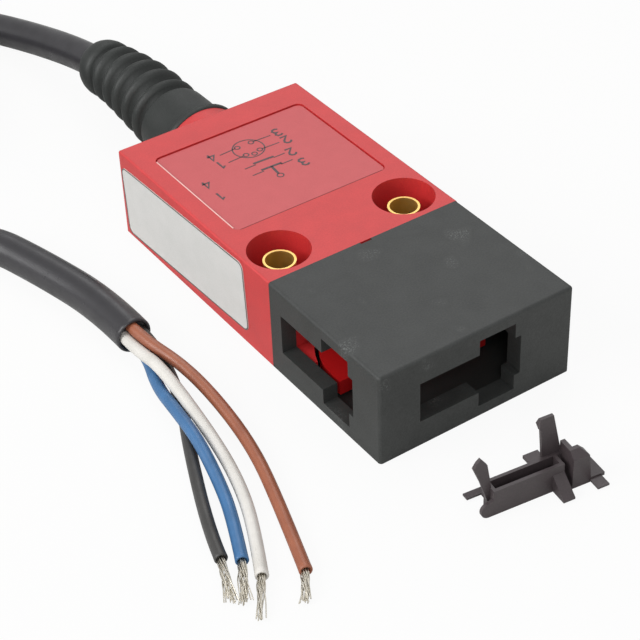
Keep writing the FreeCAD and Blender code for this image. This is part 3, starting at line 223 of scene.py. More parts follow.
# %% Outline of the boot
# Each pair is a distance along the cable and a radius, in millimetres. A groove comes before each rib, and
# the sixth rib is the boot's rounded tip.
RIBS_START = 14.4
RIB_PITCH = 3.72
RIB_HEIGHT = 1.7
GROOVE_SHARE = 0.3
STEPS_A_RIB = 10
RIB_FULLNESS = 0.55
rib_radii = [6.15, 6.03, 5.82, 5.5, 5.2]
boot_outline = [(4.45, 3.0), (4.45, 7.15), (4.6, 7.38), (5.5, 7.4), (5.72, 7.25), (5.75, 6.6), (6.2, 6.34),
                (10.5, 6.33), (13.5, 6.2), (14.05, 6.05), (14.3, 5.6)]
for number, crown in enumerate(rib_radii):
    for step in range(STEPS_A_RIB):
        share = step / STEPS_A_RIB
        over_crown = max(0.0, (share - GROOVE_SHARE) / (1 - GROOVE_SHARE))
        swell = math.sin(math.pi * over_crown) ** RIB_FULLNESS
        boot_outline.append((RIBS_START + RIB_PITCH * (number + share), crown - RIB_HEIGHT * (1 - swell)))
tip_start = RIBS_START + RIB_PITCH * len(rib_radii)
boot_outline += [(tip_start + along, radius) for along, radius in [
    (0, 3.5), (0.9, 3.5), (1.05, 4.4), (1.4, 4.83), (2.1, 5.0), (2.9, 4.98), (3.8, 4.83), (4.6, 4.55),
    (5.3, 4.15), (5.8, 3.7), (6.1, 3.3), (6.2, 2.86)]]
print("points of the outline:", len(boot_outline))

# %% The boot on the cable
def mesh_piece(name, mesh):
    """A piece that holds this mesh."""
    data = bpy.data.meshes.new(name)
    mesh.to_mesh(data)
    mesh.free()
    return new_piece(name, data)


def angles_round(sides):
    """The angles of a ring's points."""
    return [2 * math.pi * i / sides for i in range(sides)]


def closed_sleeve(name, rings_m):
    """A smooth sleeve through rings of points in metres. The last ring is joined to the first."""
    mesh = bmesh.new()
    rings = [[mesh.verts.new(point) for point in ring] for ring in rings_m]
    for ring, after in zip(rings, rings[1:] + rings[:1]):
        for i in range(len(ring)):
            j = (i + 1) % len(ring)
            mesh.faces.new((ring[i], ring[j], after[j], after[i])).smooth = True
    bmesh.ops.recalc_face_normals(mesh, faces=mesh.faces)
    return mesh_piece(name, mesh)


def across_and_up(onward):
    """The directions to the side and upward of a line that runs this way."""
    across = onward.cross(Vector((0, 0, 1))).normalized()
    return across, across.cross(onward)


def sleeve_along(name, line, outline, sides=56):
    """A closed sleeve whose rings stand on a line: an outline of (distance along it, radius)."""
    rings = []
    for distance, radius in outline:
        centre, onward = place_along(line, distance)
        across, upward = across_and_up(onward)
        rings.append([(centre + (across * math.cos(t) + upward * math.sin(t)) * radius) * MM
                      for t in angles_round(sides)])
    return closed_sleeve(name, rings)


boot = sleeve_along("ribbed_boot", cable_line, boot_outline)
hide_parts("cable_boot")
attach(boot, "case")
print("faces of the boot:", len(boot.data.polygons))

# %% [markdown]
# ## Cut ends and bare strands
# A stripped cable shows the thickness of its jacket round the cores, and each core shows a thin wall round
# a bundle of fine tinned wires. The walls are turned rings, seated on the ends of the cords. The strands
# leave each core as a loose twist that frays towards its tip. One thick wire with a pattern of lines would
# keep a round outline, so each strand is a spline of its own, with a seeded chance to where it strays.

# %% Turned rings
def turned_ring(name, outline_mm, place_mm, direction, sides=40):
    """A closed ring: an outline of (radius, distance along the axis) turned round an axis."""
    rings = []
    for radius, along in outline_mm:
        rings.append([(radius * MM * math.cos(t), radius * MM * math.sin(t), along * MM)
                      for t in angles_round(sides)])
    piece = closed_sleeve(name, rings)
    piece.rotation_mode = "QUATERNION"
    piece.rotation_quaternion = Vector(direction).to_track_quat("Z", "Y")
    piece.location = Vector(place_mm) * MM
    return piece


jacket_outline = [(2.7, -0.6), (2.79, 0), (2.79, 0.5), (2.7, 0.7), (2.5, 0.75), (2.3, 0.6), (2.24, 0.1),
                  (2.24, -0.6)]
jacket_mouth = turned_ring("jacket_mouth", jacket_outline, cut_end, heading)
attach(jacket_mouth, "case")
core_outline = [(0.88, -0.8), (0.91, -0.4), (0.92, 0.3), (0.86, 0.42), (0.68, 0.42), (0.6, 0.3),
                (0.58, -0.8)]
core_mouths = {}
for colour, route in core_routes.items():
    direction = Vector(route[-1]) - Vector(route[-2])
    mouth = turned_ring(f"core_{colour}_mouth", core_outline, route[-1], direction, sides=24)
    core_mouths[colour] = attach(mouth, "case")
print("mouth rings:", 1 + len(core_mouths))

# %% Bare strands
# The strands stand in a spiral, each 2.4 radians round from the one before, which spreads them evenly.
STRAND_MM = 0.15
STRANDS_A_CORE = 19
BUNDLE_RADIUS = 0.42
STRAND_STEPS = 6
TURN_TO_NEXT = 2.4
SHORTEST_REACH = 0.86
LEAST_TWIST, MOST_TWIST = 1.6, 2.4
LIFT_SHARE = 0.6
BULGE_SHARE = 0.5
STARTS_INSIDE = 0.04
TIP_HEIGHT = 0.55
ABOVE_FLOOR = 0.02
strand_tips = {"brown": (-39.1, -47.0), "white": (-45.2, -46.2), "blue": (-45.4, -43.0),
               "black": (-46.5, -41.7)}
fray = {"brown": 0.55, "white": 0.35, "blue": 0.75, "black": 0.8}


def strand_bundle(colour, chance):
    """A loose twist of fine wires from the end of a core to about where the bundle's tip lies."""
    end = Vector(core_routes[colour][-1])
    along = Vector((*strand_tips[colour], TIP_HEIGHT)) - end
    across, upward = across_and_up(along.normalized())
    data = bpy.data.curves.new(f"strands_{colour}", "CURVE")
    data.dimensions = "3D"
    data.bevel_depth = 1.0
    data.bevel_resolution = 2
    data.resolution_u = STRAND_STEPS
    data.use_fill_caps = True
    for number in range(STRANDS_A_CORE):
        ring = BUNDLE_RADIUS * math.sqrt((number + 0.5) / STRANDS_A_CORE)
        reach = chance.uniform(SHORTEST_REACH, 1.0)
        stray = chance.uniform(-1, 1) * fray[colour]
        lift = chance.uniform(0, 1) * fray[colour] * LIFT_SHARE
        twist = chance.uniform(LEAST_TWIST, MOST_TWIST)
        spline = data.splines.new("NURBS")
        spline.points.add(STRAND_STEPS)
        for step, control in enumerate(spline.points):
            share = step / STRAND_STEPS
            angle = number * TURN_TO_NEXT + twist * share * math.pi / 2
            bulge = ring * (1 + BULGE_SHARE * math.sin(math.pi * min(1, share * 1.2)))
            place = end + along * (share * reach - STARTS_INSIDE)
            place += across * (bulge * math.cos(angle) + stray * share ** 2)
            place += upward * (bulge * math.sin(angle) + lift * math.sin(math.pi * share))
            place.z = max(place.z, STRAND_MM / 2 + ABOVE_FLOOR)
            control.co = (*(place * MM), 1.0)
            control.radius = STRAND_MM / 2 * MM
        spline.order_u = 3
        spline.use_endpoint_u = True
    return new_piece(f"strands_{colour}", data)


chance = random.Random(11)
strands = {}
for colour in core_ways:
    bundle = strand_bundle(colour, chance)
    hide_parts("core_ends")
    strands[colour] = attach(bundle, "case")
print("strands:", STRANDS_A_CORE * len(strands))

# %% [markdown]
# ## Printed symbols
# The label on top is screen printed: a connector seen from its pin side, a closed and an opened contact,
# and the number of each wire. It reads from the cable end. A dark line runs round the side label, along
# its cut edge: painted shade of that edge. An image could hold all this, but it would blur close up. So
# each stroke is a flat ribbon of mesh with the thickness of ink.

# %% Ribbons of ink
INK_MM = 0.02
THIN, THICK, BOLD = 0.2, 0.42, 0.34
SHARPEST_CORNER = 0.6
CIRCLE_STEPS = 32


def ribbon(mesh, points, width, closed=False):
    """Adds a flat ribbon of this width along a line of points, in millimetres."""
    points = [Vector(point) for point in points]
    count = len(points)
    pairs = []
    for i, point in enumerate(points):
        before = points[i - 1] if closed or i else point
        after = points[(i + 1) % count] if closed or i < count - 1 else point
        arrive = (point - before).normalized() if point != before else (after - point).normalized()
        leave = (after - point).normalized() if after != point else arrive
        normal = (Vector((-arrive.y, arrive.x)) + Vector((-leave.y, leave.x))).normalized()
        spread = normal * (width / 2 / max(SHARPEST_CORNER, normal.dot(Vector((-leave.y, leave.x)))))
        pairs.append([mesh.verts.new((*(side * MM), 0)) for side in (point + spread, point - spread)])
    for i in range(count if closed else count - 1):
        here, after = pairs[i], pairs[(i + 1) % count]
        mesh.faces.new((here[0], here[1], after[1], after[0]))


def printed(name, mesh, matrix, thick_mm=INK_MM):
    """Gives the ribbons their thickness, upward, and lays them on a label."""
    bmesh.ops.recalc_face_normals(mesh, faces=mesh.faces)
    bmesh.ops.solidify(mesh, geom=mesh.faces[:], thickness=thick_mm * MM)
    bmesh.ops.recalc_face_normals(mesh, faces=mesh.faces)
    bottom = min(vertex.co.z for vertex in mesh.verts)
    for vertex in mesh.verts:
        vertex.co.z -= bottom
    piece = mesh_piece(name, mesh)
    piece.matrix_world = matrix
    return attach(piece, "case")


def arc(centre, radius, start, end, steps):
    """Points along an arc, with its angles in degrees."""
    angles = [math.radians(start + (end - start) * i / steps) for i in range(steps + 1)]
    return [(centre[0] + radius * math.cos(a), centre[1] + radius * math.sin(a)) for a in angles]


def ink_ring(mesh, centre, radius, width):
    """A printed circle."""
    ribbon(mesh, arc(centre, radius, 0, FULL_TURN, CIRCLE_STEPS)[:-1], width, closed=True)


# %% Print on the top label
# Millimetres on the label: places, or distances from the middle of the symbol that they belong to.
CIRCLE = (-0.1, 24.8)
CIRCLE_RADIUS = 2.5
PIN_AWAY = 1.25
PIN_RADIUS = 0.42
KEY_PIN_AWAY = 1.7
LEAD_END = 4.6
LEAD_DROP = 0.15
CLOSED_AT, OPENED_AT = 20.4, 18.2
CONTACT_HALF = 1.8
WIRE_END, WIRE_START = 3.6, 1.6
BRIDGE_HIGH, BRIDGE_LOW = 0.45, 0.3
HOOK_HIGH, HOOK_LOW = 0.35, 0.1
PLUNGER_X = -0.2
PLUNGER_END = 1.9
BUTTON_AWAY = 2.4
BUTTON_RADIUS = 0.5
DIGIT_HEIGHT = 1.9
DIGIT_MIDDLE = (0.3, 0.5)
digits = [("4", (-5.9, 26.1)), ("1", (-5.9, 23.6)), ("3", (5.9, 26)), ("2", (5.9, 23.4)),
          ("4", (-10.4, 20.3)), ("1", (-10.4, 16.6)), ("2", (4.6, 20.1)), ("3", (4.6, 16.7))]
digit_strokes = {
    "1": [(0.08, 0.78), (0.34, 1), (0.34, 0)],
    "2": [(0, 0.76), (0.1, 0.93), (0.3, 1), (0.5, 0.93), (0.6, 0.74), (0.5, 0.52), (0, 0), (0.6, 0)],
    "3": [(0, 0.88), (0.2, 1), (0.45, 0.97), (0.58, 0.78), (0.48, 0.58), (0.26, 0.52), (0.5, 0.46),
          (0.6, 0.24), (0.46, 0.04), (0.2, 0), (0, 0.12)],
    "4": [(0.44, 0), (0.44, 1), (0, 0.3), (0.64, 0.3)],
}


def digit(mesh, mark, middle):
    """A printed number, which reads from the cable end of the switch."""
    strokes = []
    for x, y in digit_strokes[mark]:
        strokes.append((middle[0] - (x - DIGIT_MIDDLE[0]) * DIGIT_HEIGHT,
                        middle[1] - (y - DIGIT_MIDDLE[1]) * DIGIT_HEIGHT))
    ribbon(mesh, strokes, BOLD)


ink = bmesh.new()
ink_ring(ink, CIRCLE, CIRCLE_RADIUS, THIN)
for side in (-1, 1):
    for end in (-1, 1):
        pin = (CIRCLE[0] + side * PIN_AWAY, CIRCLE[1] + end * PIN_AWAY)
        ink_ring(ink, pin, PIN_RADIUS, THIN)
        ribbon(ink, [(pin[0] + side * PIN_RADIUS, pin[1]), (side * LEAD_END, pin[1] - LEAD_DROP)], THIN)
ink_ring(ink, (CIRCLE[0], CIRCLE[1] - KEY_PIN_AWAY), PIN_RADIUS, THIN)
for row in (CLOSED_AT, OPENED_AT):
    for side in (-1, 1):
        ribbon(ink, [(side * WIRE_END, row), (side * WIRE_START, row)], THIN)
    ribbon(ink, [(-CONTACT_HALF, row + BRIDGE_HIGH), (CONTACT_HALF, row + BRIDGE_LOW)], THICK)
ribbon(ink, [(WIRE_START, OPENED_AT + HOOK_HIGH), (WIRE_START, OPENED_AT - HOOK_LOW)], THIN)
ribbon(ink, [(0, OPENED_AT + HOOK_HIGH), (PLUNGER_X, OPENED_AT - PLUNGER_END)], THICK)
ink_ring(ink, (PLUNGER_X, OPENED_AT - BUTTON_AWAY), BUTTON_RADIUS, THIN)
for mark, middle in digits:
    digit(ink, mark, middle)
panel_low, panel_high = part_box("label_panel")
panel_top = panel_high[2]
panel_print = printed("panel_print", ink, Matrix.Translation((0, 0, panel_top)))
print("print lies at", round(panel_top / MM, 2), "mm")

# %% Cut edges of the top label
# A pale ribbon fills the gap beside its left edge: a painted highlight where the rim catches the light. A
# dark ribbon along its front edge is painted shade.
RIM_WIDTH = 0.14
HIGHLIGHT_WIDTH = 0.19
HIGHLIGHT_BESIDE = 0.1
HIGHLIGHT_SHORT, RIM_SHORT = 0.8, 0.6
left, front, right, rear = [x / MM for x in (panel_low[0], panel_low[1], panel_high[0], panel_high[1])]
lit_edge, dark_edge = bmesh.new(), bmesh.new()
# Pale ribbon in the gap at the left edge: a painted highlight of the rim.
highlight_x = left - HIGHLIGHT_BESIDE
ribbon(lit_edge, [(highlight_x, front + HIGHLIGHT_SHORT), (highlight_x, rear - HIGHLIGHT_SHORT)], HIGHLIGHT_WIDTH)
body_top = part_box("housing")[1][2]
# Dark ribbon along the front edge: painted shade.
rim_y = front + RIM_WIDTH
ribbon(dark_edge, [(left + RIM_SHORT, rim_y), (right - RIM_SHORT, rim_y)], RIM_WIDTH)
panel_lit_edge = printed("panel_lit_edge", lit_edge, Matrix.Translation((0, 0, panel_top)),
                         (body_top - panel_top) / MM)
panel_dark_edge = printed("panel_dark_edge", dark_edge, Matrix.Translation((0, 0, panel_top)))
print("label cut to", round(right - left, 1), "by", round(rear - front, 1), "mm")

# %% Painted shade round the side label
# The label was put on 2.7 degrees crooked. A dark ribbon runs along its cut edge as painted shade of that
# edge.
LABEL_SIZE = (34.6, 12)
LABEL_TILT = -2.7
LABEL_CORNER = 1.1
CORNER_STEPS = 6
BORDER_WIDTH = 0.22
label_low, label_high = [Vector(corner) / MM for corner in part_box("side_label")]
half_along, half_up = [(size - BORDER_WIDTH) / 2 for size in LABEL_SIZE]
outline = []
for side, end, start in [(1, 1, 0), (-1, 1, 90), (-1, -1, 180), (1, -1, 270)]:
    corner = (side * (half_along - LABEL_CORNER), end * (half_up - LABEL_CORNER))
    outline += arc(corner, LABEL_CORNER, start, start + 90, CORNER_STEPS)
# A dark ribbon round the side label: painted shade of its cut edge.
border = bmesh.new()
ribbon(border, outline, BORDER_WIDTH, closed=True)
label_middle = (label_low + label_high) / 2
on_side = Matrix(((0, 0, -1), (-1, 0, 0), (0, 1, 0))).to_4x4()
label_place = Matrix.Translation(Vector((label_low.x, label_middle.y, label_middle.z)) * MM)
crooked = Matrix.Rotation(math.radians(LABEL_TILT), 4, "X")
label_edge_shade = printed("label_edge_shade", border, label_place @ crooked @ on_side)
print("border points:", len(outline))

# %% [markdown]
# ## Colours and nodes
# Colours are written as sRGB hex, as a paint tool shows them, and one function turns them to the linear
# numbers that the shader needs. Patterns could be painted images, but a pattern that is worked out has no
# seams and stays fine close up. All are sized in millimetres, and lie in the object's own space.

# %% Colour and node helpers
def linear(hex_colour):
    """An sRGB hex colour as a linear RGBA colour."""
    shares = [int(hex_colour[i:i + 2], 16) / 255 for i in (1, 3, 5)]
    return (*[x / 12.92 if x <= 0.04045 else ((x + 0.055) / 1.055) ** 2.4 for x in shares], 1.0)


def add_node(tree, kind, inputs=None, **settings):
    """Adds one node. inputs gives each socket a value or another node's output."""
    node = tree.nodes.new(kind)
    for name, value in settings.items():
        setattr(node, name, value)
    for name, value in (inputs or {}).items():
        if isinstance(value, bpy.types.NodeSocket):
            tree.links.new(value, node.inputs[name])
        else:
            node.inputs[name].default_value = value
    return node


def per_mm(size_mm):
    """The texture scale at which one feature of a pattern is this many millimetres across."""
    return 1 / (size_mm * MM)


def blank_material(name, **sockets):
    """A material with one Principled shader and the sockets that are the same all over."""
    material = bpy.data.materials.new(name)
    material.use_nodes = True
    shader = material.node_tree.nodes["Principled BSDF"]
    for socket, value in sockets.items():
        shader.inputs[socket.replace("_", " ")].default_value = value
    return material, material.node_tree, shader


print("a middle grey of the screen in linear light:", round(linear("#808080")[0], 3))

# %% Patterns and how a shader takes them
def noise(tree, place, size_mm, detail):
    """A soft pattern with features of this size. It runs from 0 to 1, and is mostly near the middle."""
    return add_node(tree, "ShaderNodeTexNoise", {"Vector": place, "Scale": per_mm(size_mm),
                                                 "Detail": detail}).outputs["Fac"]


def stretch(tree, value, from_low, from_high, low=0.0, high=1.0):
    """Makes the stretch of a pattern from from_low to from_high run from low to high."""
    ends = {"From Min": from_low, "From Max": from_high, "To Min": low, "To Max": high}
    return add_node(tree, "ShaderNodeMapRange", {"Value": value, **ends}).outputs["Result"]


def blend(tree, share, first, second):
    """A colour between two others, by a pattern's share of the second."""
    return add_node(tree, "ShaderNodeMix", {"Factor": share, 6: first, 7: second},
                    data_type="RGBA").outputs[2]


def finish_with(tree, shader, tint, dullness, height, depth_mm):
    """Gives a shader its colour, its roughness, and a relief that is this many millimetres deep."""
    bump = add_node(tree, "ShaderNodeBump", {"Height": height, "Strength": 1.0, "Distance": depth_mm * MM})
    tree.links.new(tint, shader.inputs["Base Color"])
    tree.links.new(dullness, shader.inputs["Roughness"])
    tree.links.new(bump.outputs["Normal"], shader.inputs["Normal"])


print("texture scale for a grain of 0.2 mm:", round(per_mm(0.2)))

# %% [markdown]
# ## Moulded plastics
# The body, head, drum and inner parts are injection-moulded. A spark-eroded mould leaves a fine even
# grain that spreads the highlight, and the filler makes the colour very slightly uneven. Grain of 0.1 mm
# would be too fine for this camera, so it is drawn a little coarser, and shallow.

# %% Moulded plastic
# The pairs are stretches of a noise pattern. Over FULL_CONTRAST one colour goes over into the other.
FULL_CONTRAST = (0.35, 0.65)
RUBBED_PATCH = (0.6, 0.75)
RUBBED_GRAIN = (0.48, 0.62)
RUBBED_PATCH_MM = 7
CLOUD_IN_GRAINS = 14
CLOUD_SHARE = 0.4
GRAIN_ROUGHNESS = 0.06


def moulded(name, colour, mottle, roughness, grain_mm, grain_depth_mm, ior=1.5, scuffed=None, skin=0.0):
    """A moulded thermoplastic: grain as bump, a faint mottle in its colour, and roughness that follows it.

    scuffed is the colour of the pale rubbed specks that handling leaves in a few small patches. skin is
    how much clear resin lies over the pigment, which gives a strong colour its pale veil.
    """
    material, tree, shader = blank_material(name, IOR=ior, Coat_Weight=skin, Coat_Roughness=0.6)
    place = add_node(tree, "ShaderNodeTexCoord").outputs["Object"]
    grain = noise(tree, place, grain_mm, 3.0)
    cloud = noise(tree, place, grain_mm * CLOUD_IN_GRAINS, 2.0)
    both = add_node(tree, "ShaderNodeMix", {"Factor": CLOUD_SHARE, "A": grain, "B": cloud})
    speck = both.outputs["Result"]
    tint = blend(tree, stretch(tree, speck, *FULL_CONTRAST), linear(colour), linear(mottle))
    if scuffed:
        patch = stretch(tree, noise(tree, place, RUBBED_PATCH_MM, 2.0), *RUBBED_PATCH)
        rub = stretch(tree, grain, *RUBBED_GRAIN)
        rubbed = add_node(tree, "ShaderNodeMath", {0: patch, 1: rub}, operation="MULTIPLY")
        tint = blend(tree, rubbed.outputs["Value"], tint, linear(scuffed))
    dullness = stretch(tree, grain, 0.0, 1.0, roughness - GRAIN_ROUGHNESS, roughness + GRAIN_ROUGHNESS)
    finish_with(tree, shader, tint, dullness, grain, grain_depth_mm)
    return material


# PBT in signal red, moulded with a fine even grain: a matt surface with a soft pale veil of light.
red_pbt = moulded("red_pbt", "#c32224", "#b51b1e", 0.54, 0.22, 0.012, ior=1.55, skin=0.62)
# Glass-filled polyamide in black: it looks dark grey, because its grain scatters the light.
black_polyamide = moulded("black_polyamide", "#333534", "#282a29", 0.56, 0.25, 0.014, ior=1.53,
                          scuffed="#5e605f")
# The same polyamide inside the head, painted much darker as shade, and with no rubbed specks.
painted_shade_polyamide = moulded("painted_shade_polyamide", "#1b1c1b", "#161716", 0.62, 0.25, 0.01, ior=1.53)
# Acetal in a deeper red: smoother, because it has to slide.
red_acetal = moulded("red_acetal", "#ad1416", "#a31012", 0.4, 0.3, 0.004, ior=1.48)
# Unfilled acetal, white and slightly translucent looking, for the slides and the contact base.
white_acetal = moulded("white_acetal", "#e4e0d6", "#dbd7cc", 0.38, 0.3, 0.004, ior=1.48)
# Polyamide of the slot plug: warm dark grey and a little shiny on its ribs.
grey_polyamide = moulded("grey_polyamide", "#433b3d", "#393234", 0.44, 0.2, 0.01, ior=1.53)
# Synthetic rubber of the boot: darker than the head and dull, with a coarse stipple.
boot_rubber = moulded("boot_rubber", "#222624", "#1b1e1d", 0.56, 0.3, 0.02, ior=1.52)
print("materials so far:", len(bpy.data.materials))

# %% [markdown]
# ## Extruded PVC
# Cable jackets and core insulation are extruded through a die, which leaves them smooth, with a satin
# shine and the faint unevenness of an orange peel. Handling leaves dull patches. One roughness all over
# would make them look like glass, so it wanders slowly, and the colour with it.

# %% Extruded PVC
DULL_PATCH_MM = 3.0
PEEL_MM = 0.35
PEEL_DEPTH_MM = 0.006
PATCH_CONTRAST = (0.3, 0.7)
PATCH_ROUGHNESS = 0.07


def extruded(name, colour, mottle, roughness):
    """Extruded PVC: a satin surface with slow dull patches and a very shallow orange-peel."""
    material, tree, shader = blank_material(name, IOR=1.53)
    place = add_node(tree, "ShaderNodeTexCoord").outputs["Object"]
    patch = noise(tree, place, DULL_PATCH_MM, 4.0)
    peel = noise(tree, place, PEEL_MM, 2.0)
    tint = blend(tree, stretch(tree, patch, *FULL_CONTRAST), linear(colour), linear(mottle))
    dullness = stretch(tree, patch, *PATCH_CONTRAST, roughness - PATCH_ROUGHNESS,
                       roughness + PATCH_ROUGHNESS)
    finish_with(tree, shader, tint, dullness, peel, PEEL_DEPTH_MM)
    return material


# Black jacket: satin, with one long soft highlight.
jacket_pvc = extruded("jacket_pvc", "#313033", "#29282b", 0.33)
# Core insulation in the four colours, thin-walled and a little duller.
brown_pvc = extruded("brown_pvc", "#965940", "#8b5039", 0.42)
blue_pvc = extruded("blue_pvc", "#3c6a98", "#36618c", 0.42)
white_pvc = extruded("white_pvc", "#d1cec9", "#c7c4be", 0.44)
black_pvc = extruded("black_pvc", "#393837", "#31302f", 0.46)
print("materials so far:", len(bpy.data.materials))

# %% [markdown]
# ## Metals
# The sleeves and contacts are brass: turned bar shows fine rings across its axis, and rolled strip fine
# lines. The strands are copper with a thin coat of tin, silver grey with a warm cast. The axle is ground
# steel. A metal takes its colour from its reflection, so it has no separate diffuse colour. Its tool marks
# could be cut into the mesh, but they are finer than it, so they are a noise pattern that is drawn out in
# the direction of the marks.

# %% Worked metal
# ALONG_LINES is the scale of the pattern along the tool marks.
ALONG_LINES = 0.05
LINE_DEPTH_MM = 0.003
TARNISH_MM = 1.5
SMOOTHER, ROUGHER = 0.08, 0.1


def worked_metal(name, colour, tarnish, roughness, line_mm, across):
    """A metal with tool marks: fine lines across one axis, and a slow change towards its tarnish."""
    material, tree, shader = blank_material(name, Metallic=1.0)
    place = add_node(tree, "ShaderNodeTexCoord").outputs["Object"]
    squeezed = [1.0 if letter in across else ALONG_LINES for letter in "xyz"]
    drawn_out = add_node(tree, "ShaderNodeMapping", {"Vector": place, "Scale": squeezed}).outputs["Vector"]
    lines = noise(tree, drawn_out, line_mm, 2.0)
    tint = blend(tree, noise(tree, place, TARNISH_MM, 3.0), linear(colour), linear(tarnish))
    dullness = stretch(tree, lines, 0.0, 1.0, roughness - SMOOTHER, roughness + ROUGHER)
    finish_with(tree, shader, tint, dullness, lines, LINE_DEPTH_MM)
    return material


# Free-cutting brass, turned on a bar lathe: warm yellow, bright at the rim and dark inside the bore.
turned_brass = worked_metal("turned_brass", "#fbe096", "#efca72", 0.42, 0.12, "z")
# Spring brass strip of the contacts.
rolled_brass = worked_metal("rolled_brass", "#d8b06a", "#c49a58", 0.3, 0.15, "x")
# Tinned copper wire, dull silver with a warm cast.
tinned_wire = worked_metal("tinned_wire", "#e6e2d8", "#cdc6b6", 0.28, 0.3, "xy")
# Ground steel of the axle and the springs.
ground_steel = worked_metal("ground_steel", "#b9bbbd", "#a2a4a6", 0.28, 0.2, "z")
# Fine silver of the contact tips.
pressed_silver = worked_metal("pressed_silver", "#e3e2de", "#cfccc4", 0.25, 0.2, "y")
print("materials so far:", len(bpy.data.materials))

# %% [markdown]
# ## Films and resin
# The label on the top is a matt polyester film in the body's red, and the one on the side is white. Both
# are smoother than the plastic under them, so they look a little greyer. The cable end is sealed in resin.
# They are made like the moulded plastics, the film with a finer and shallower grain, and the resin with
# slow shallow waves.

# %% Films and resin
TOOTH_MM = 0.18
TOOTH_DEPTH_MM = 0.003


def film(name, colour, mottle, roughness):
    """A printed polyester film: nearly even colour over the fine tooth of its coating."""
    return moulded(name, colour, mottle, roughness, TOOTH_MM, TOOTH_DEPTH_MM, ior=1.6)


# Polyester film of the top label, printed red from behind, with a matt coating.
panel_film = film("panel_film", "#b83e42", "#b1383c", 0.38)
# Polyester film of the side label, white all through.
white_film = film("white_film", "#cbcac8", "#c3c3c0", 0.42)
# Painted shade: the dark line along the side label's cut edge.
painted_edge_shade = film("painted_edge_shade", "#5a5c58", "#4f514d", 0.5)
# Painted highlight: a pale ribbon in the gap beside the top label's left edge, where the rim catches the
# light.
painted_edge_highlight = film("painted_edge_highlight", "#e6b4ae", "#dca8a2", 0.45)
# Painted shade along the cut front edge of the top label, in a deeper red.
painted_front_shade = film("painted_front_shade", "#84181c", "#781418", 0.5)
# Screen ink, laid on thin: near black with some of the red in it.
print_ink = film("print_ink", "#423034", "#38282c", 0.45)
# Cast polyurethane: smooth and glossy.
cast_resin = moulded("cast_resin", "#26262a", "#202024", 0.22, 1.2, 0.01, ior=1.55)
print("all materials:", len(bpy.data.materials))

# %% Finishes of the pieces
finishes = {
    red_pbt: ["housing", "bottom_cover"],
    black_polyamide: ["head_shell"],
    # The head's inner base takes the darker copy of the polyamide: painted shade.
    painted_shade_polyamide: ["head_base"],
    red_acetal: ["drum"],
    white_acetal: ["plunger", "plunger_guide", "contact_carriage", "contact_base"],
    grey_polyamide: ["slot_plug"],
    boot_rubber: ["cable_boot", "plunger_seal"],
    turned_brass: ["mounting_sleeves"],
    rolled_brass: ["nc_fixed_contacts", "no_fixed_contacts", "nc_bridge", "no_bridge"],
    ground_steel: ["drum_axle", "return_spring", "contact_springs"],
    pressed_silver: ["fixed_contact_tips", "moving_contact_tips"],
    panel_film: ["label_panel"],
    white_film: ["side_label"],
    cast_resin: ["potting_block"],
    brown_pvc: ["lead_brown"],
    blue_pvc: ["lead_blue"],
    black_pvc: ["lead_black"],
    white_pvc: ["lead_white"],
}
for finish, names in finishes.items():
    for name in names:
        nodes[name].data.materials.clear()
        nodes[name].data.materials.append(finish)

cord_finishes = {"brown": brown_pvc, "white": white_pvc, "blue": blue_pvc, "black": black_pvc}
boot.data.materials.append(boot_rubber)
panel_print.data.materials.append(print_ink)
label_edge_shade.data.materials.append(painted_edge_shade)
panel_lit_edge.data.materials.append(painted_edge_highlight)
panel_dark_edge.data.materials.append(painted_front_shade)
cable.data.materials.append(jacket_pvc)
jacket_mouth.data.materials.append(jacket_pvc)
for colour, finish in cord_finishes.items():
    cores[colour].data.materials.append(finish)
    core_mouths[colour].data.materials.append(finish)
    strands[colour].data.materials.append(tinned_wire)
shown = [name for name, thing in nodes.items() if not thing.hide_render]
print("CAD nodes shown:", len(shown))

# %% [markdown]
# ## Floor and light
# The photograph is a cut-out on white under very soft light, a little stronger from the upper left. The
# floor is pale and catches the soft shadow. To the camera it is mostly plain white, so it looks as bright
# as the page while it still lights the object from below as paper does. The sky is white to the camera
# too, but lights the object much less than that.

# %% Floor
WHITE = (1, 1, 1, 1)
FLOOR_HALF = 1.5
BELOW_OBJECT = 0.05
WHITE_SHARE = 0.92
floor_mesh = bpy.data.meshes.new("floor")
floor_mesh.from_pydata([(-FLOOR_HALF, -FLOOR_HALF, 0), (FLOOR_HALF, -FLOOR_HALF, 0),
                        (FLOOR_HALF, FLOOR_HALF, 0), (-FLOOR_HALF, FLOOR_HALF, 0)], [], [(0, 1, 2, 3)])
floor = new_piece("floor", floor_mesh)
floor.location.z = -BELOW_OBJECT * MM
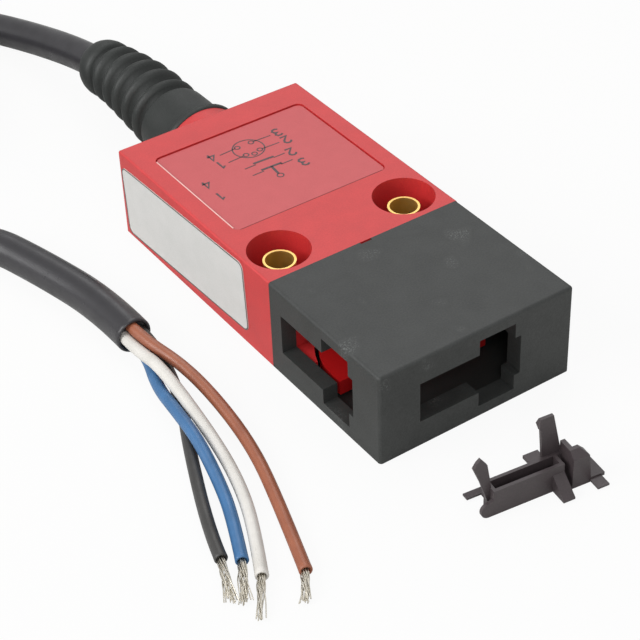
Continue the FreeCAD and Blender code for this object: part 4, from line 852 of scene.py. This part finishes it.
# Matt white paper, which the object lies on.
paper, tree, shader = blank_material("paper", Base_Color=linear("#cfcfcd"), Roughness=0.9)
seen = add_node(tree, "ShaderNodeLightPath")
glow = add_node(tree, "ShaderNodeEmission", {"Color": WHITE, "Strength": 1.0})
plain = add_node(tree, "ShaderNodeMath", {0: seen.outputs["Is Camera Ray"], 1: WHITE_SHARE},
                 operation="MULTIPLY")
surface = add_node(tree, "ShaderNodeMixShader", {0: plain.outputs["Value"], 1: shader.outputs["BSDF"],
                                                 2: glow.outputs["Emission"]})
tree.links.new(surface.outputs["Shader"], tree.nodes["Material Output"].inputs["Surface"])
floor_mesh.materials.append(paper)

# %% Light
SKY_STRENGTH = 0.56
world = bpy.data.worlds.new("studio")
scene.world = world
world.use_nodes = True
tree = world.node_tree
sky = tree.nodes["Background"]
sky.inputs["Color"].default_value = WHITE
sky.inputs["Strength"].default_value = SKY_STRENGTH
page = add_node(tree, "ShaderNodeBackground", {"Color": WHITE, "Strength": 1.0})
seen = add_node(tree, "ShaderNodeLightPath")
either = add_node(tree, "ShaderNodeMixShader", {0: seen.outputs["Is Camera Ray"],
                                                1: sky.outputs["Background"],
                                                2: page.outputs["Background"]})
tree.links.new(either.outputs["Shader"], tree.nodes["World Output"].inputs["Surface"])


def soft_lamp(name, place_m, size_m, watts):
    """A square soft box that faces the object."""
    lamp = bpy.data.objects.new(name, bpy.data.lights.new(name, "AREA"))
    lamp.data.shape = "SQUARE"
    lamp.data.size = size_m
    lamp.data.energy = watts
    lamp.location = place_m
    lamp.rotation_mode = "QUATERNION"
    lamp.rotation_quaternion = (-Vector(place_m)).to_track_quat("-Z", "Y")
    scene.collection.objects.link(lamp)


soft_lamp("key_light", (-0.74, 0.14, 0.5), 0.5, 5.6)
soft_lamp("top_light", (0.2, 0.25, 0.9), 0.6, 1.4)
soft_lamp("rear_light", (0.38, 0.58, 0.66), 0.4, 0.85)
soft_lamp("front_light", (-0.42, -0.66, 0.66), 0.3, 2.6)
scene.view_settings.view_transform = "Standard"
print("lamps:", len(bpy.data.lights))
